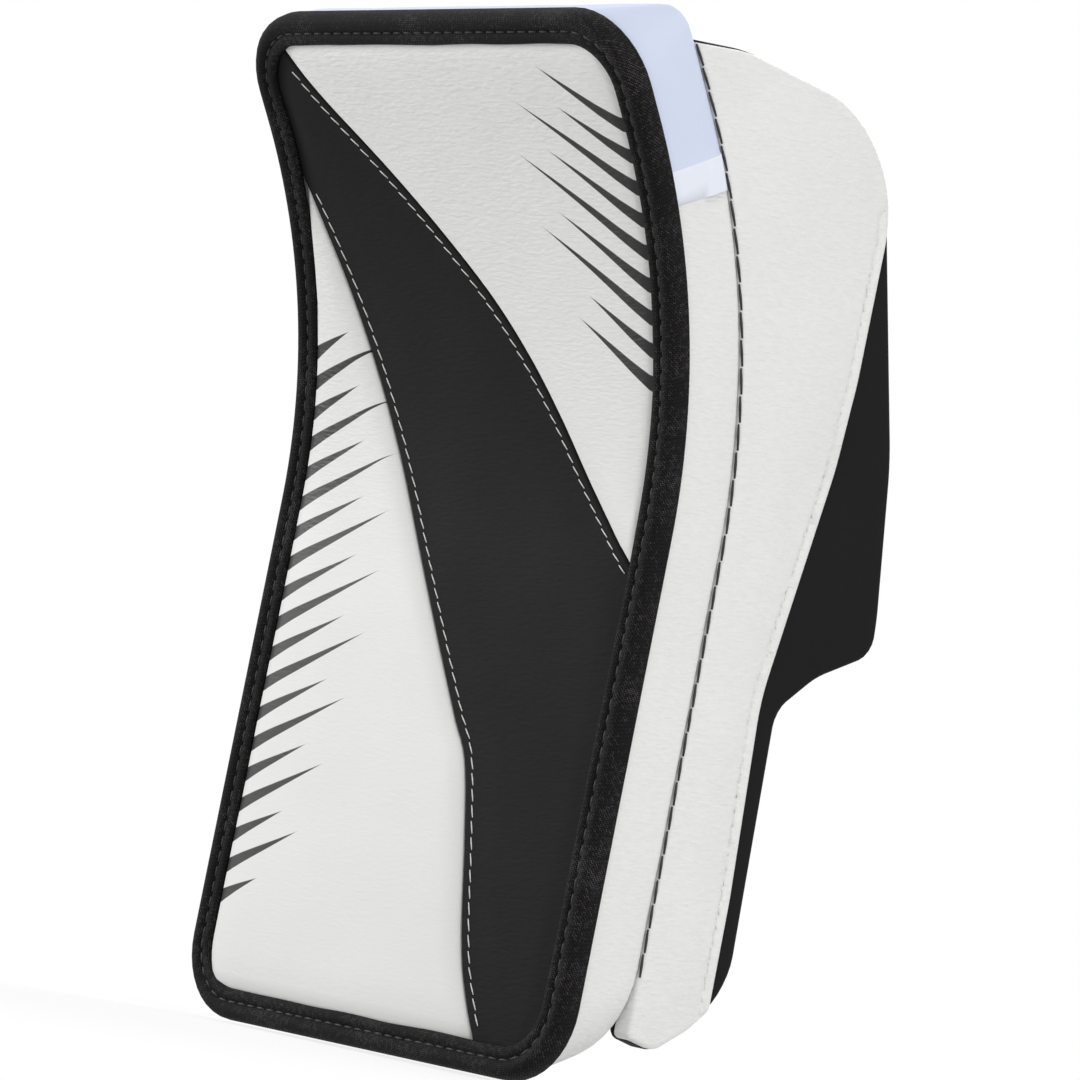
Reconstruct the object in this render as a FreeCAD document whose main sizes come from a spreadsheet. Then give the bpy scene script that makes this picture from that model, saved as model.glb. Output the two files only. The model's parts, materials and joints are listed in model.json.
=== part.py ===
import FreeCAD, Part
import math
import os
import Sketcher
from FreeCAD import Placement, Rotation, Vector

# A youth goalkeeper's blocker: a bent, foam-filled board with a side flap, worn on the right hand.
# X runs across the board towards the thumb, Y from the struck face to the palm, Z from fingers to cuff.
# Depths are counted back from the struck face, heights up from the board's lower edge.

doc = FreeCAD.newDocument("goalie_blocker")
sheet = doc.addObject("Spreadsheet::Sheet", "sizes")

board_sizes = [
    ("board_width", "170"),
    ("board_length", "305"),
    ("lower_length", "156"),
    ("bend_radius", "195.5"),
    ("bend_angle", "34.4"),
    ("top_straight_length", "31.6"),
    ("board_corner_radius", "23"),
    ("corner_margin", "2"),
    ("glue_line", "0.1"),
    ("face_thickness", "1.4"),
    ("impact_foam_thickness", "9"),
    ("plate_thickness", "1.6"),
    ("backing_foam_thickness", "10.6"),
    ("back_panel_thickness", "1.2"),
    ("gusset_thickness", "1.2"),
    ("gusset_seam_share", "0.78"),
    ("binding_thickness", "1.5"),
    ("binding_front_width", "9"),
    ("binding_side_width", "6"),
    ("cut_overrun", "8"),
    ("left_seam_rise_share", "0.917"),
    ("left_kink_across_share", "0.1"),
    ("left_kink_up_share", "0.298"),
    ("left_foot_across_share", "0.282"),
    ("right_seam_rise_share", "1.005"),
    ("right_seam_fall_share", "0.416"),
    ("right_seam_radius", "1200"),
]
flap_sizes = [
    ("flap_seam_gap", "1.8"),
    ("flap_proud", "0.6"),
    ("flap_cover_thickness", "1.3"),
    ("flap_foam_thickness", "6.6"),
    ("flap_plate_thickness", "1.2"),
    ("flap_lining_thickness", "1.2"),
    ("flap_wall_thickness", "1.2"),
    ("flap_plate_inset", "5"),
    ("flap_bottom", "17"),
    ("flap_narrow_depth", "36.8"),
    ("flap_notch_depth", "34.4"),
    ("flap_notch_drop", "5"),
    ("flap_wide_depth", "68.3"),
    ("flap_wide_rise", "12"),
    ("flap_top_drop", "12"),
    ("flap_top_depth", "32.3"),
    ("flap_bottom_radius", "24"),
    ("flap_notch_radius", "10"),
    ("flap_wide_radius", "9"),
    ("flap_top_radius", "42"),
    ("border_foot_depth", "30"),
    ("border_waist_depth", "26.2"),
    ("border_waist_drop", "4"),
    ("border_upper_depth", "39.2"),
    ("border_upper_rise", "80"),
    ("border_top_depth", "39.4"),
    ("border_top_drop", "32"),
    ("border_radius", "60"),
    ("lace_diameter", "1.2"),
    ("lace_stitch", "4.6"),
    ("lace_pitch", "6.2"),
    ("lace_foot", "25"),
    ("lace_head", "17"),
]
hand_sizes = [
    ("knuckle_drop", "31"),
    ("crease_gap", "0.6"),
    ("finger_bore_radius", "8"),
    ("finger_wall", "1.6"),
    ("finger_spacing", "2"),
    ("index_length", "63"),
    ("middle_length", "69"),
    ("ring_length", "64"),
    ("little_length", "53"),
    ("guard_gap", "0.2"),
    ("guard_drop", "5"),
    ("guard_length_share", "0.72"),
    ("guard_round_share", "0.6"),
    ("finger_guard_thickness", "3"),
    ("finger_guard_half_angle", "42"),
    ("hand_side_thickness", "2.2"),
    ("hand_slack", "2.8"),
    ("pocket_slack", "6"),
    ("hand_pad_thickness", "6.5"),
    ("hand_pad_margin", "5"),
    ("hand_pad_drop", "17"),
    ("hand_pad_rise", "38"),
    ("palm_thickness", "1.4"),
    ("palm_length", "80.4"),
    ("palm_corner_radius", "9"),
    ("palm_patch_thickness", "1.2"),
    ("palm_patch_margin", "14"),
    ("palm_patch_radius", "14"),
    ("thumb_gap", "0.3"),
    ("thumb_clearance", "5.3"),
    ("thumb_forward", "3.7"),
    ("thumb_rise", "41"),
    ("thumb_bore_radius", "9"),
    ("thumb_wall", "1.6"),
    ("thumb_length", "56"),
    ("thumb_guard_half_angle", "65"),
    ("thumb_guard_turn", "45"),
    ("thumb_guard_thickness", "3.4"),
    ("thumb_collar_lift", "0.5"),
    ("thumb_collar_height", "21"),
]
cuff_sizes = [
    ("cuff_slack", "7"),
    ("cuff_edge_margin", "2"),
    ("wing_thickness", "6"),
    ("wing_gap", "0.6"),
    ("wing_length", "58"),
    ("wing_depth", "4.8"),
    ("wing_reach", "90"),
    ("wing_round", "12"),
    ("strap_gap", "0.3"),
    ("strap_thickness", "2"),
    ("strap_width", "25"),
    ("strap_rise", "14"),
    ("strap_wrap_length", "26"),
    ("strap_bend_radius", "2"),
    ("patch_thickness", "1.1"),
    ("patch_length", "19"),
    ("patch_margin", "2"),
]
driving = board_sizes + flap_sizes + hand_sizes + cuff_sizes


# A size that carries its number and the sheet formula it comes from.
class Size:
    def __init__(self, number, text):
        self.number = number
        self.text = text

    def __add__(self, other):
        return Size(self.number + other.number, f"({self.text} + {other.text})")

    def __sub__(self, other):
        return Size(self.number - other.number, f"({self.text} - {other.text})")

    def __mul__(self, factor):
        if isinstance(factor, Size):
            return Size(self.number * factor.number, f"({self.text} * {factor.text})")
        return Size(self.number * factor, f"({self.text} * {factor})")

    def __truediv__(self, divisor):
        if isinstance(divisor, Size):
            return Size(self.number / divisor.number, f"({self.text} / {divisor.text})")
        return Size(self.number / divisor, f"({self.text} / {divisor})")

    def __neg__(self):
        return Size(-self.number, f"(-{self.text})")


def lesser(first, second):
    return Size(min(first.number, second.number), f"min({first.text}; {second.text})")


def sine(angle):
    return Size(math.sin(math.radians(angle.number)), f"sin({angle.text} * 1 deg)")


def cosine(angle):
    return Size(math.cos(math.radians(angle.number)), f"cos({angle.text} * 1 deg)")


class Sizes:
    pass


s = Sizes()
for row, (alias, value) in enumerate(driving, start=1):
    sheet.set(f"A{row}", alias)
    sheet.set(f"B{row}", value)
    sheet.setAlias(f"B{row}", alias)
doc.recompute()
for alias, value in driving:
    setattr(s, alias, Size(float(sheet.get(alias)), f"sizes.{alias}"))
zero = Size(0.0, "0")
nodes = []


def bind(item, **sizes):
    for name, size in sizes.items():
        item.setExpression(name, size.text)


def move(item, x=zero, y=zero, z=zero):
    for name, size in (("x", x), ("y", y), ("z", z)):
        item.setExpression(f"Placement.Base.{name}", size.text)


def keep(item, label):
    item.Label = label
    nodes.append(item)


def new_body(name):
    return doc.addObject("PartDesign::Body", name)


def new_sketch(body, plane):
    sketch = body.newObject("Sketcher::SketchObject", body.Name + "_sketch")
    support = [item for item in body.Origin.OriginFeatures if item.Role == plane]
    sketch.AttachmentSupport = [(support[0], "")]
    sketch.MapMode = "FlatFace"
    return sketch


def tie(sketch, kind, *references):
    sketch.addConstraint(Sketcher.Constraint(kind, *references))


def drive(sketch, kind, *references, size):
    index = sketch.addConstraint(Sketcher.Constraint(kind, *references, size.number))
    sketch.setExpression(f"Constraints[{index}]", size.text)


def drive_angle(sketch, first, second, size):
    turn = math.radians(size.number)
    index = sketch.addConstraint(Sketcher.Constraint("Angle", first, second, turn))
    sketch.setExpression(f"Constraints[{index}]", size.text)


# Holds one end of an edge at a signed place measured from the sketch's origin.
def pin_point(sketch, edge, end, across=None, up=None):
    for kind, size in (("DistanceX", across), ("DistanceY", up)):
        if size is None:
            continue
        if size.number < 0:
            drive(sketch, kind, edge, end, -1, 1, size=-size)
        else:
            drive(sketch, kind, -1, 1, edge, end, size=size)


def flat_point(across, up):
    return Vector(across.number, up.number, 0)


def add_line(sketch, first, second):
    return sketch.addGeometry(Part.LineSegment(first, second), False)


def add_arc(sketch, center, radius, start, finish):
    circle = Part.Circle(center, Vector(0, 0, 1), radius)
    return sketch.addGeometry(Part.ArcOfCircle(circle, start, finish), False)


def join_ends(sketch, edges):
    for edge, following in zip(edges, edges[1:]):
        tie(sketch, "Coincident", edge, 2, following, 1)


def closed_polygon(sketch, places):
    points = [flat_point(*place) for place in places]
    edges = [add_line(sketch, point, after) for point, after in zip(points, points[1:] + points[:1])]
    join_ends(sketch, edges + edges[:1])
    for edge, (across, up) in zip(edges, places):
        pin_point(sketch, edge, 1, across, up)


def pad_up(body, sketch, length, both_ways=False, backwards=False):
    pad = body.newObject("PartDesign::Pad", body.Name + "_pad")
    pad.Profile = sketch
    pad.SideType = "Symmetric" if both_ways else "One side"
    pad.Reversed = backwards
    bind(pad, Length=length)
    doc.recompute()
    return pad


def round_edges(body, names, radius):
    fillet = body.newObject("PartDesign::Fillet", body.Name + "_round")
    fillet.Base = (fillet.BaseFeature, names)
    bind(fillet, Radius=radius)
    doc.recompute()


# Names of the straight edges of a body that run along one way and whose middle passes a test.
def edges_along(body, way, wanted):
    parallel_share = 0.999
    names = []
    for index, edge in enumerate(body.Tip.Shape.Edges, start=1):
        if edge.Curve.TypeId != "Part::GeomLine":
            continue
        run = edge.Vertexes[-1].Point.sub(edge.Vertexes[0].Point).normalize()
        if abs(run.dot(way)) > parallel_share and wanted(edge.CenterOfMass):
            names.append(f"Edge{index}")
    return names


def near(first, second):
    return abs(first - second) < s.glue_line.number


def boolean(kind, name, base, tool):
    item = doc.addObject(kind, name)
    item.Base = base
    item.Tool = tool
    doc.recompute()
    return item


def plain_box(name, length, width, height):
    box = doc.addObject("Part::Box", name)
    bind(box, Length=length, Width=width, Height=height)
    return box


print("board layers")
# What is left above the straight part is shared between the bend and the straight top.
degree = Size(math.pi / 180, "(pi / 180)")
upper_length = s.board_length - s.lower_length
upper_drawn = s.bend_radius * s.bend_angle * degree + s.top_straight_length
bend_turn = s.bend_angle * (upper_length / upper_drawn)
bend_length = s.bend_radius * bend_turn * degree
top_length = upper_length - bend_length
corner_radius = lesser(s.board_corner_radius, top_length - s.corner_margin)
bend = math.radians(bend_turn.number)
bend_center = Vector(-s.bend_radius.number, s.lower_length.number, 0)


# A point of the board's side profile, at a height along the face and a depth behind it.
def profile_point(height, depth):
    turn = min(max((height - s.lower_length.number) / s.bend_radius.number, 0.0), bend)
    straight = min(height, s.lower_length.number)
    rest = max(height - s.lower_length.number - bend_length.number, 0.0)
    reach = s.bend_radius.number + depth
    back = reach * math.cos(turn) - s.bend_radius.number - rest * math.sin(turn)
    up = straight + reach * math.sin(turn) + rest * math.cos(turn)
    return Vector(back, up, 0)


def profile_arc(sketch, depth, start, finish):
    return add_arc(sketch, bend_center, s.bend_radius.number + depth.number, start, finish)


# One layer of the bent board: straight below, a forward bend, straight again to the top.
def bent_layer(name, front, back, inset):
    body = new_body(name)
    sketch = new_sketch(body, "YZ_Plane")
    stations = (inset, s.lower_length, s.lower_length + bend_length, s.board_length - inset)
    fronts = [profile_point(height.number, front.number) for height in stations]
    backs = [profile_point(height.number, back.number) for height in stations]
    front_lower = add_line(sketch, fronts[0], fronts[1])
    front_bend = profile_arc(sketch, front, 0, bend)
    front_upper = add_line(sketch, fronts[2], fronts[3])
    top_end = add_line(sketch, fronts[3], backs[3])
    back_upper = add_line(sketch, backs[3], backs[2])
    back_bend = profile_arc(sketch, back, 0, bend)
    back_lower = add_line(sketch, backs[1], backs[0])
    bottom_end = add_line(sketch, backs[0], fronts[0])
    join_ends(sketch, [front_upper, top_end, back_upper])
    join_ends(sketch, [back_lower, bottom_end, front_lower])
    tie(sketch, "Coincident", front_bend, 3, back_bend, 3)
    tie(sketch, "Tangent", front_lower, 2, front_bend, 1)
    tie(sketch, "Tangent", front_bend, 2, front_upper, 1)
    tie(sketch, "Tangent", back_upper, 2, back_bend, 2)
    tie(sketch, "Tangent", back_bend, 1, back_lower, 1)
    tie(sketch, "Vertical", front_lower)
    tie(sketch, "Vertical", back_lower)
    tie(sketch, "Horizontal", bottom_end)
    tie(sketch, "Perpendicular", top_end, front_upper)
    tie(sketch, "Perpendicular", top_end, back_upper)
    pin_point(sketch, front_bend, 3, -s.bend_radius, s.lower_length)
    drive(sketch, "Radius", front_bend, size=s.bend_radius + front)
    drive(sketch, "Radius", back_bend, size=s.bend_radius + back)
    drive(sketch, "Distance", front_lower, size=s.lower_length - inset)
    drive_angle(sketch, front_lower, front_upper, bend_turn)
    drive(sketch, "Distance", front_upper, size=top_length - inset)
    pad_up(body, sketch, s.board_width - inset * 2, both_ways=True)
    corners = []
    for way in (Vector(0, 1, 0), Vector(0, math.cos(bend), math.sin(bend))):
        corners += edges_along(body, way, lambda center: center.x != 0)
    round_edges(body, sorted(set(corners)), corner_radius - inset)
    return body


gusset_inset = s.binding_thickness + s.glue_line
core_inset = gusset_inset + s.gusset_thickness + s.glue_line
foam_front = s.face_thickness + s.glue_line
plate_front = foam_front + s.impact_foam_thickness + s.glue_line
backing_front = plate_front + s.plate_thickness + s.glue_line
panel_front = backing_front + s.backing_foam_thickness + s.glue_line
board_back = panel_front + s.back_panel_thickness

face_sheet = bent_layer("face_sheet", zero, s.face_thickness, core_inset)
layers = (
    ("impact_foam", foam_front, s.impact_foam_thickness),
    ("board_plate", plate_front, s.plate_thickness),
    ("backing_foam", backing_front, s.backing_foam_thickness),
    ("back_panel", panel_front, s.back_panel_thickness),
)
for label, front, thickness in layers:
    keep(bent_layer(label, front, front + thickness, core_inset), label)

print("face panels")
seam_reach = s.board_width / 2 + s.cut_overrun
head = s.board_length + s.cut_overrun


# The block that takes the left panel out of the face: its edge has one kink low on the board.
def left_seam_block():
    body = new_body("left_seam")
    sketch = new_sketch(body, "XZ_Plane")
    closed_polygon(sketch, [
        (-seam_reach, s.board_length * s.left_seam_rise_share),
        (-seam_reach, -s.cut_overrun),
        (s.board_width * s.left_foot_across_share, -s.cut_overrun),
        (s.board_width * s.left_kink_across_share, s.board_length * s.left_kink_up_share),
    ])
    pad_up(body, sketch, s.board_length, both_ways=True)
    return body


# The block that takes the right panel out of the face: its edge bows gently upwards.
def right_seam_block():
    body = new_body("right_seam")
    sketch = new_sketch(body, "XZ_Plane")
    rise = s.board_length * s.right_seam_rise_share
    fall = s.board_length * s.right_seam_fall_share
    left = flat_point(-seam_reach, rise)
    right = flat_point(seam_reach, fall)
    radius = s.right_seam_radius.number
    chord = right.sub(left)
    bow = Vector(-chord.y, chord.x, 0).normalize()
    center = (left + right) / 2 - bow * math.sqrt(radius ** 2 - (chord.Length / 2) ** 2)
    start = math.atan2(right.y - center.y, right.x - center.x)
    finish = math.atan2(left.y - center.y, left.x - center.x)
    seam = add_arc(sketch, center, radius, start, finish)
    left_side = add_line(sketch, left, flat_point(-seam_reach, head))
    top_side = add_line(sketch, flat_point(-seam_reach, head), flat_point(seam_reach, head))
    right_side = add_line(sketch, flat_point(seam_reach, head), right)
    join_ends(sketch, [seam, left_side, top_side, right_side, seam])
    pin_point(sketch, left_side, 1, -seam_reach, rise)
    pin_point(sketch, top_side, 1, -seam_reach, head)
    pin_point(sketch, right_side, 1, seam_reach, head)
    pin_point(sketch, right_side, 2, seam_reach, fall)
    drive(sketch, "Radius", seam, size=s.right_seam_radius)
    pad_up(body, sketch, s.board_length, both_ways=True)
    return body


left_seam = left_seam_block()
right_seam = right_seam_block()
face_rest = boolean("Part::Cut", "face_rest", face_sheet, left_seam)
keep(boolean("Part::Common", "face_left", face_sheet, left_seam), "face_panel_left")
keep(boolean("Part::Cut", "face_center", face_rest, right_seam), "face_panel_center")
keep(boolean("Part::Common", "face_right", face_sheet, right_seam), "face_panel_right")

print("gusset and binding")
gusset_outer = bent_layer("gusset_outer", zero, board_back, gusset_inset)
gusset_hollow = bent_layer("gusset_hollow", zero, board_back, gusset_inset + s.gusset_thickness)
gusset_ring = boolean("Part::Cut", "gusset_ring", gusset_outer, gusset_hollow)
cap_box = plain_box("cap_box", s.board_width, s.bend_radius * 2, s.board_length)
cap_box.Placement = Placement(Vector(0, 0, 0), Rotation(Vector(1, 0, 0), bend_turn.number))
cap_box.setExpression("Placement.Rotation.Angle", (bend_turn * s.gusset_seam_share).text)
move(cap_box, -s.board_width / 2, -s.bend_radius, s.lower_length)
doc.recompute()
keep(boolean("Part::Common", "gusset_cap", gusset_ring, cap_box), "top_gusset")
keep(boolean("Part::Cut", "gusset_walls", gusset_ring, cap_box), "side_gusset")

binding_back = s.binding_side_width - gusset_inset
binding_outer = bent_layer("binding_outer", -gusset_inset, binding_back, zero)
binding_hollow = bent_layer("binding_hollow", -s.glue_line, binding_back, s.binding_thickness)
binding_window = bent_layer("binding_window", -gusset_inset, binding_back, s.binding_front_width)
binding_shell = boolean("Part::Cut", "binding_shell", binding_outer, binding_hollow)
keep(boolean("Part::Cut", "binding_ring", binding_shell, binding_window), "face_binding")

print("side flap")
knuckle = s.lower_length - s.knuckle_drop
board_top = s.lower_length + (s.bend_radius + board_back) * sine(bend_turn) + top_length * cosine(bend_turn)
flap_top = board_top - s.flap_top_drop
flap_front = board_back + s.flap_seam_gap
gusset_x = s.board_width / 2 - gusset_inset
flap_outer = gusset_x + s.flap_proud


# The flap's outline, drawn in from every edge by an inset and raised to a thickness.
def flap_layer(name, outer_x, thickness, inset):
    body = new_body(name)
    sketch = new_sketch(body, "YZ_Plane")
    front = flap_front + inset
    low = s.flap_bottom + inset
    top = flap_top - inset
    places = [
        (board_back + s.flap_narrow_depth - inset, low),
        (board_back + s.flap_notch_depth - inset, knuckle - s.flap_notch_drop + inset),
        (board_back + s.flap_wide_depth - inset, knuckle + s.flap_wide_rise + inset),
        (board_back + s.flap_top_depth - inset, top),
    ]
    points = [flat_point(*place) for place in places]
    foot = flat_point(front, low)
    knee = flat_point(front, s.lower_length)
    neck = profile_point((s.lower_length + bend_length).number, front.number)
    lean = (top.number - neck.y) * math.tan(bend)
    crown = Vector(neck.x - lean, top.number, 0)
    rim = [add_line(sketch, *ends) for ends in zip([foot] + points, points + [crown])]
    front_upper = add_line(sketch, crown, neck)
    front_bend = profile_arc(sketch, front, 0, bend)
    front_lower = add_line(sketch, knee, foot)
    join_ends(sketch, rim + [front_upper])
    tie(sketch, "Coincident", front_lower, 2, rim[0], 1)
    tie(sketch, "Tangent", front_upper, 2, front_bend, 2)
    tie(sketch, "Tangent", front_bend, 1, front_lower, 1)
    tie(sketch, "Vertical", front_lower)
    tie(sketch, "Horizontal", rim[0])
    tie(sketch, "Horizontal", rim[-1])
    pin_point(sketch, front_bend, 3, -s.bend_radius, s.lower_length)
    drive(sketch, "Radius", front_bend, size=s.bend_radius + front)
    drive_angle(sketch, front_lower, front_upper, bend_turn)
    for edge, place in zip(rim[1:], places):
        pin_point(sketch, edge, 1, *place)
    pad_up(body, sketch, thickness)
    radii = (
        s.flap_bottom_radius - inset,
        s.flap_notch_radius + inset,
        s.flap_wide_radius,
        s.flap_top_radius - inset,
    )
    for point, radius in zip(points, radii):
        names = edges_along(body, Vector(1, 0, 0),
                            lambda center: near(center.y, point.x) and near(center.z, point.y))
        round_edges(body, names, radius)
    move(body, x=outer_x - thickness)
    doc.recompute()
    return body


# The block that takes the dark rear panel out of the flap's cover along a slack curve.
def border_block():
    body = new_body("border")
    sketch = new_sketch(body, "YZ_Plane")
    low = s.flap_bottom - s.cut_overrun
    high = flap_top - s.border_top_drop
    reach = board_back + s.flap_wide_depth + s.cut_overrun
    upper = (board_back + s.border_upper_depth, knuckle + s.border_upper_rise)
    waist = (board_back + s.border_waist_depth, knuckle - s.border_waist_drop)
    closed_polygon(sketch, [
        (board_back + s.border_foot_depth, low),
        (reach, low),
        (reach, high),
        (board_back + s.border_top_depth, high),
        upper,
        waist,
    ])
    pad_up(body, sketch, s.board_width)
    for across, up in (upper, waist):
        names = edges_along(body, Vector(1, 0, 0), lambda center: near(center.z, up.number))
        round_edges(body, names, s.border_radius)
    return body


cover_inner = flap_outer - s.flap_cover_thickness - s.glue_line
plate_outer = cover_inner - s.flap_foam_thickness - s.glue_line
lining_outer = plate_outer - s.flap_plate_thickness - s.glue_line
flap_inner = lining_outer - s.flap_lining_thickness
wall_height = s.flap_foam_thickness + s.glue_line + s.flap_plate_thickness
flap_cover = flap_layer("flap_cover", flap_outer, s.flap_cover_thickness, zero)
border = border_block()
keep(boolean("Part::Cut", "flap_front", flap_cover, border), "flap_front_panel")
keep(boolean("Part::Common", "flap_edge", flap_cover, border), "flap_edge_panel")
flap_wall = flap_layer("flap_wall", cover_inner, wall_height, zero)
flap_hollow = flap_layer("flap_hollow", cover_inner, wall_height, s.flap_wall_thickness)
keep(boolean("Part::Cut", "flap_wall_ring", flap_wall, flap_hollow), "flap_edge_band")
foam_inset = s.flap_wall_thickness + s.glue_line
keep(flap_layer("flap_foam", cover_inner, s.flap_foam_thickness, foam_inset), "flap_foam")
keep(flap_layer("flap_plate", plate_outer, s.flap_plate_thickness, s.flap_plate_inset), "flap_plate")
keep(flap_layer("flap_lining", lining_outer, s.flap_lining_thickness, zero), "flap_lining")


# Short whip stitches in the slit between the board's rear edge and the flap.
def lace_stitches():
    depth = (board_back + s.flap_seam_gap / 2).number
    radius = s.lace_diameter.number / 2
    left = gusset_x.number - radius
    last = s.board_length.number - s.lace_head.number - s.lace_stitch.number
    height = s.flap_bottom.number + s.lace_foot.number
    stitches = []
    while height < last:
        first = profile_point(height, depth)
        second = profile_point(height + s.lace_stitch.number, depth)
        run = Vector(0, second.x - first.x, second.y - first.y)
        stitches.append(Part.makeCylinder(radius, run.Length, Vector(left, first.x, first.y), run))
        height += s.lace_pitch.number
    return stitches


lacing = doc.addObject("Part::Feature", "lacing")
lacing.Shape = Part.makeCompound(lace_stitches())
keep(lacing, "flap_lacing")

print("hand pocket")
stall_outer = s.finger_bore_radius + s.finger_wall
finger_pitch = stall_outer * 2 + s.finger_spacing
hand_width = finger_pitch * 4 + s.hand_side_thickness * 2 + s.hand_slack
thumb_outer = s.thumb_bore_radius + s.thumb_wall
thumb_x = flap_inner - s.thumb_clearance - s.thumb_guard_thickness - s.guard_gap - thumb_outer
hand_right = thumb_x - thumb_outer - s.thumb_gap
hand_left = hand_right - hand_width
hand_x = hand_right - hand_width / 2
pad_front = board_back + s.glue_line
pad_back = pad_front + s.hand_pad_thickness
pocket_depth = stall_outer * 2 + s.guard_gap + s.finger_guard_thickness + s.pocket_slack
palm_front = pad_back + pocket_depth
palm_bottom = knuckle + s.crease_gap
palm_top = palm_bottom + s.palm_length


# How far round the bend a level lies, and the point of the bend at that level.
def bend_turn_at(up, depth):
    return math.asin((up.number - s.lower_length.number) / (s.bend_radius.number + depth.number))


def on_bend(up, depth):
    turn = bend_turn_at(up, depth)
    reach = s.bend_radius.number + depth.number
    return Vector(reach * math.cos(turn) - s.bend_radius.number, up.number, 0)


# The pad over the back of the hand follows the board's back from the straight up onto the bend.
def back_pad():
    body = new_body("back_pad")
    sketch = new_sketch(body, "YZ_Plane")
    low = knuckle - s.hand_pad_drop
    high = palm_top + s.hand_pad_rise
    front_line = add_line(sketch, flat_point(pad_front, low), flat_point(pad_front, s.lower_length))
    front_arc = profile_arc(sketch, pad_front, 0, bend_turn_at(high, pad_front))
    high_line = add_line(sketch, on_bend(high, pad_front), on_bend(high, pad_back))
    back_arc = profile_arc(sketch, pad_back, 0, bend_turn_at(high, pad_back))
    back_line = add_line(sketch, flat_point(pad_back, s.lower_length), flat_point(pad_back, low))
    low_line = add_line(sketch, flat_point(pad_back, low), flat_point(pad_front, low))
    join_ends(sketch, [back_line, low_line, front_line])
    join_ends(sketch, [front_arc, high_line])
    tie(sketch, "Coincident", high_line, 2, back_arc, 2)
    tie(sketch, "Coincident", front_arc, 3, back_arc, 3)
    tie(sketch, "Tangent", front_line, 2, front_arc, 1)
    tie(sketch, "Tangent", back_arc, 1, back_line, 1)
    tie(sketch, "Vertical", front_line)
    tie(sketch, "Vertical", back_line)
    tie(sketch, "Horizontal", low_line)
    tie(sketch, "Horizontal", high_line)
    pin_point(sketch, front_arc, 3, -s.bend_radius, s.lower_length)
    pin_point(sketch, high_line, 1, None, high)
    pin_point(sketch, low_line, 1, None, low)
    drive(sketch, "Radius", front_arc, size=s.bend_radius + pad_front)
    drive(sketch, "Radius", back_arc, size=s.bend_radius + pad_back)
    pad_up(body, sketch, hand_width - s.hand_pad_margin * 2, both_ways=True)
    move(body, x=hand_x)
    return body


# A flat sheet across the palm with rounded corners.
def palm_sheet(name, front, thickness, width, low, high, radius):
    body = new_body(name)
    sketch = new_sketch(body, "XZ_Plane")
    half = width / 2
    closed_polygon(sketch, [(-half, low), (half, low), (half, high), (-half, high)])
    pad_up(body, sketch, thickness, backwards=True)
    round_edges(body, edges_along(body, Vector(0, 1, 0), lambda center: True), radius)
    move(body, hand_x, front)
    return body


keep(back_pad(), "hand_back_pad")
keep(palm_sheet("palm", palm_front, s.palm_thickness, hand_width, palm_bottom, palm_top,
                s.palm_corner_radius), "palm_panel")
keep(palm_sheet("patch", palm_front + s.palm_thickness + s.glue_line, s.palm_patch_thickness,
                hand_width - s.palm_patch_margin * 2, palm_bottom + s.palm_patch_margin,
                palm_top - s.palm_patch_margin, s.palm_patch_radius), "palm_patch")

thumb_mouth = knuckle + s.thumb_rise
collar_bottom = thumb_mouth + s.thumb_collar_lift
thumb_side_top = collar_bottom + s.thumb_collar_height
side_depth = palm_front - pad_front - s.glue_line
for label, left, top in (
    ("hand_side_little", hand_left, palm_top),
    ("hand_side_thumb", hand_right - s.hand_side_thickness, thumb_side_top),
):
    side = plain_box(label, s.hand_side_thickness, side_depth, top - palm_bottom)
    move(side, left, pad_front, palm_bottom)
    keep(side, label)

print("finger and thumb stalls")


# A closed fingertip tube that hangs from its mouth at the local origin.
def stall(name, bore, wall, length):
    body = new_body(name)
    sketch = new_sketch(body, "XZ_Plane")
    outer = bore + wall
    dome = outer - length
    center = flat_point(zero, dome)
    outer_line = add_line(sketch, flat_point(outer, dome), flat_point(outer, zero))
    mouth_line = add_line(sketch, flat_point(outer, zero), flat_point(bore, zero))
    inner_line = add_line(sketch, flat_point(bore, zero), flat_point(bore, dome))
    inner_arc = add_arc(sketch, center, bore.number, -math.pi / 2, 0)
    axis_line = add_line(sketch, flat_point(zero, dome - bore), flat_point(zero, -length))
    outer_arc = add_arc(sketch, center, outer.number, -math.pi / 2, 0)
    join_ends(sketch, [outer_line, mouth_line, inner_line])
    tie(sketch, "Tangent", inner_line, 2, inner_arc, 2)
    tie(sketch, "Coincident", inner_arc, 1, axis_line, 1)
    tie(sketch, "Coincident", axis_line, 2, outer_arc, 1)
    tie(sketch, "Tangent", outer_arc, 2, outer_line, 1)
    tie(sketch, "Coincident", inner_arc, 3, outer_arc, 3)
    tie(sketch, "Vertical", outer_line)
    tie(sketch, "Vertical", inner_line)
    tie(sketch, "PointOnObject", mouth_line, 1, -1)
    tie(sketch, "PointOnObject", mouth_line, 2, -1)
    tie(sketch, "PointOnObject", axis_line, 1, -2)
    tie(sketch, "PointOnObject", axis_line, 2, -2)
    tie(sketch, "PointOnObject", inner_arc, 3, -2)
    drive(sketch, "Radius", inner_arc, size=bore)
    drive(sketch, "Radius", outer_arc, size=outer)
    drive(sketch, "Distance", outer_line, size=length - outer)
    turned = body.newObject("PartDesign::Revolution", name + "_turned")
    turned.Profile = sketch
    turned.ReferenceAxis = (sketch, ["V_Axis"])
    doc.recompute()
    return body


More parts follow.
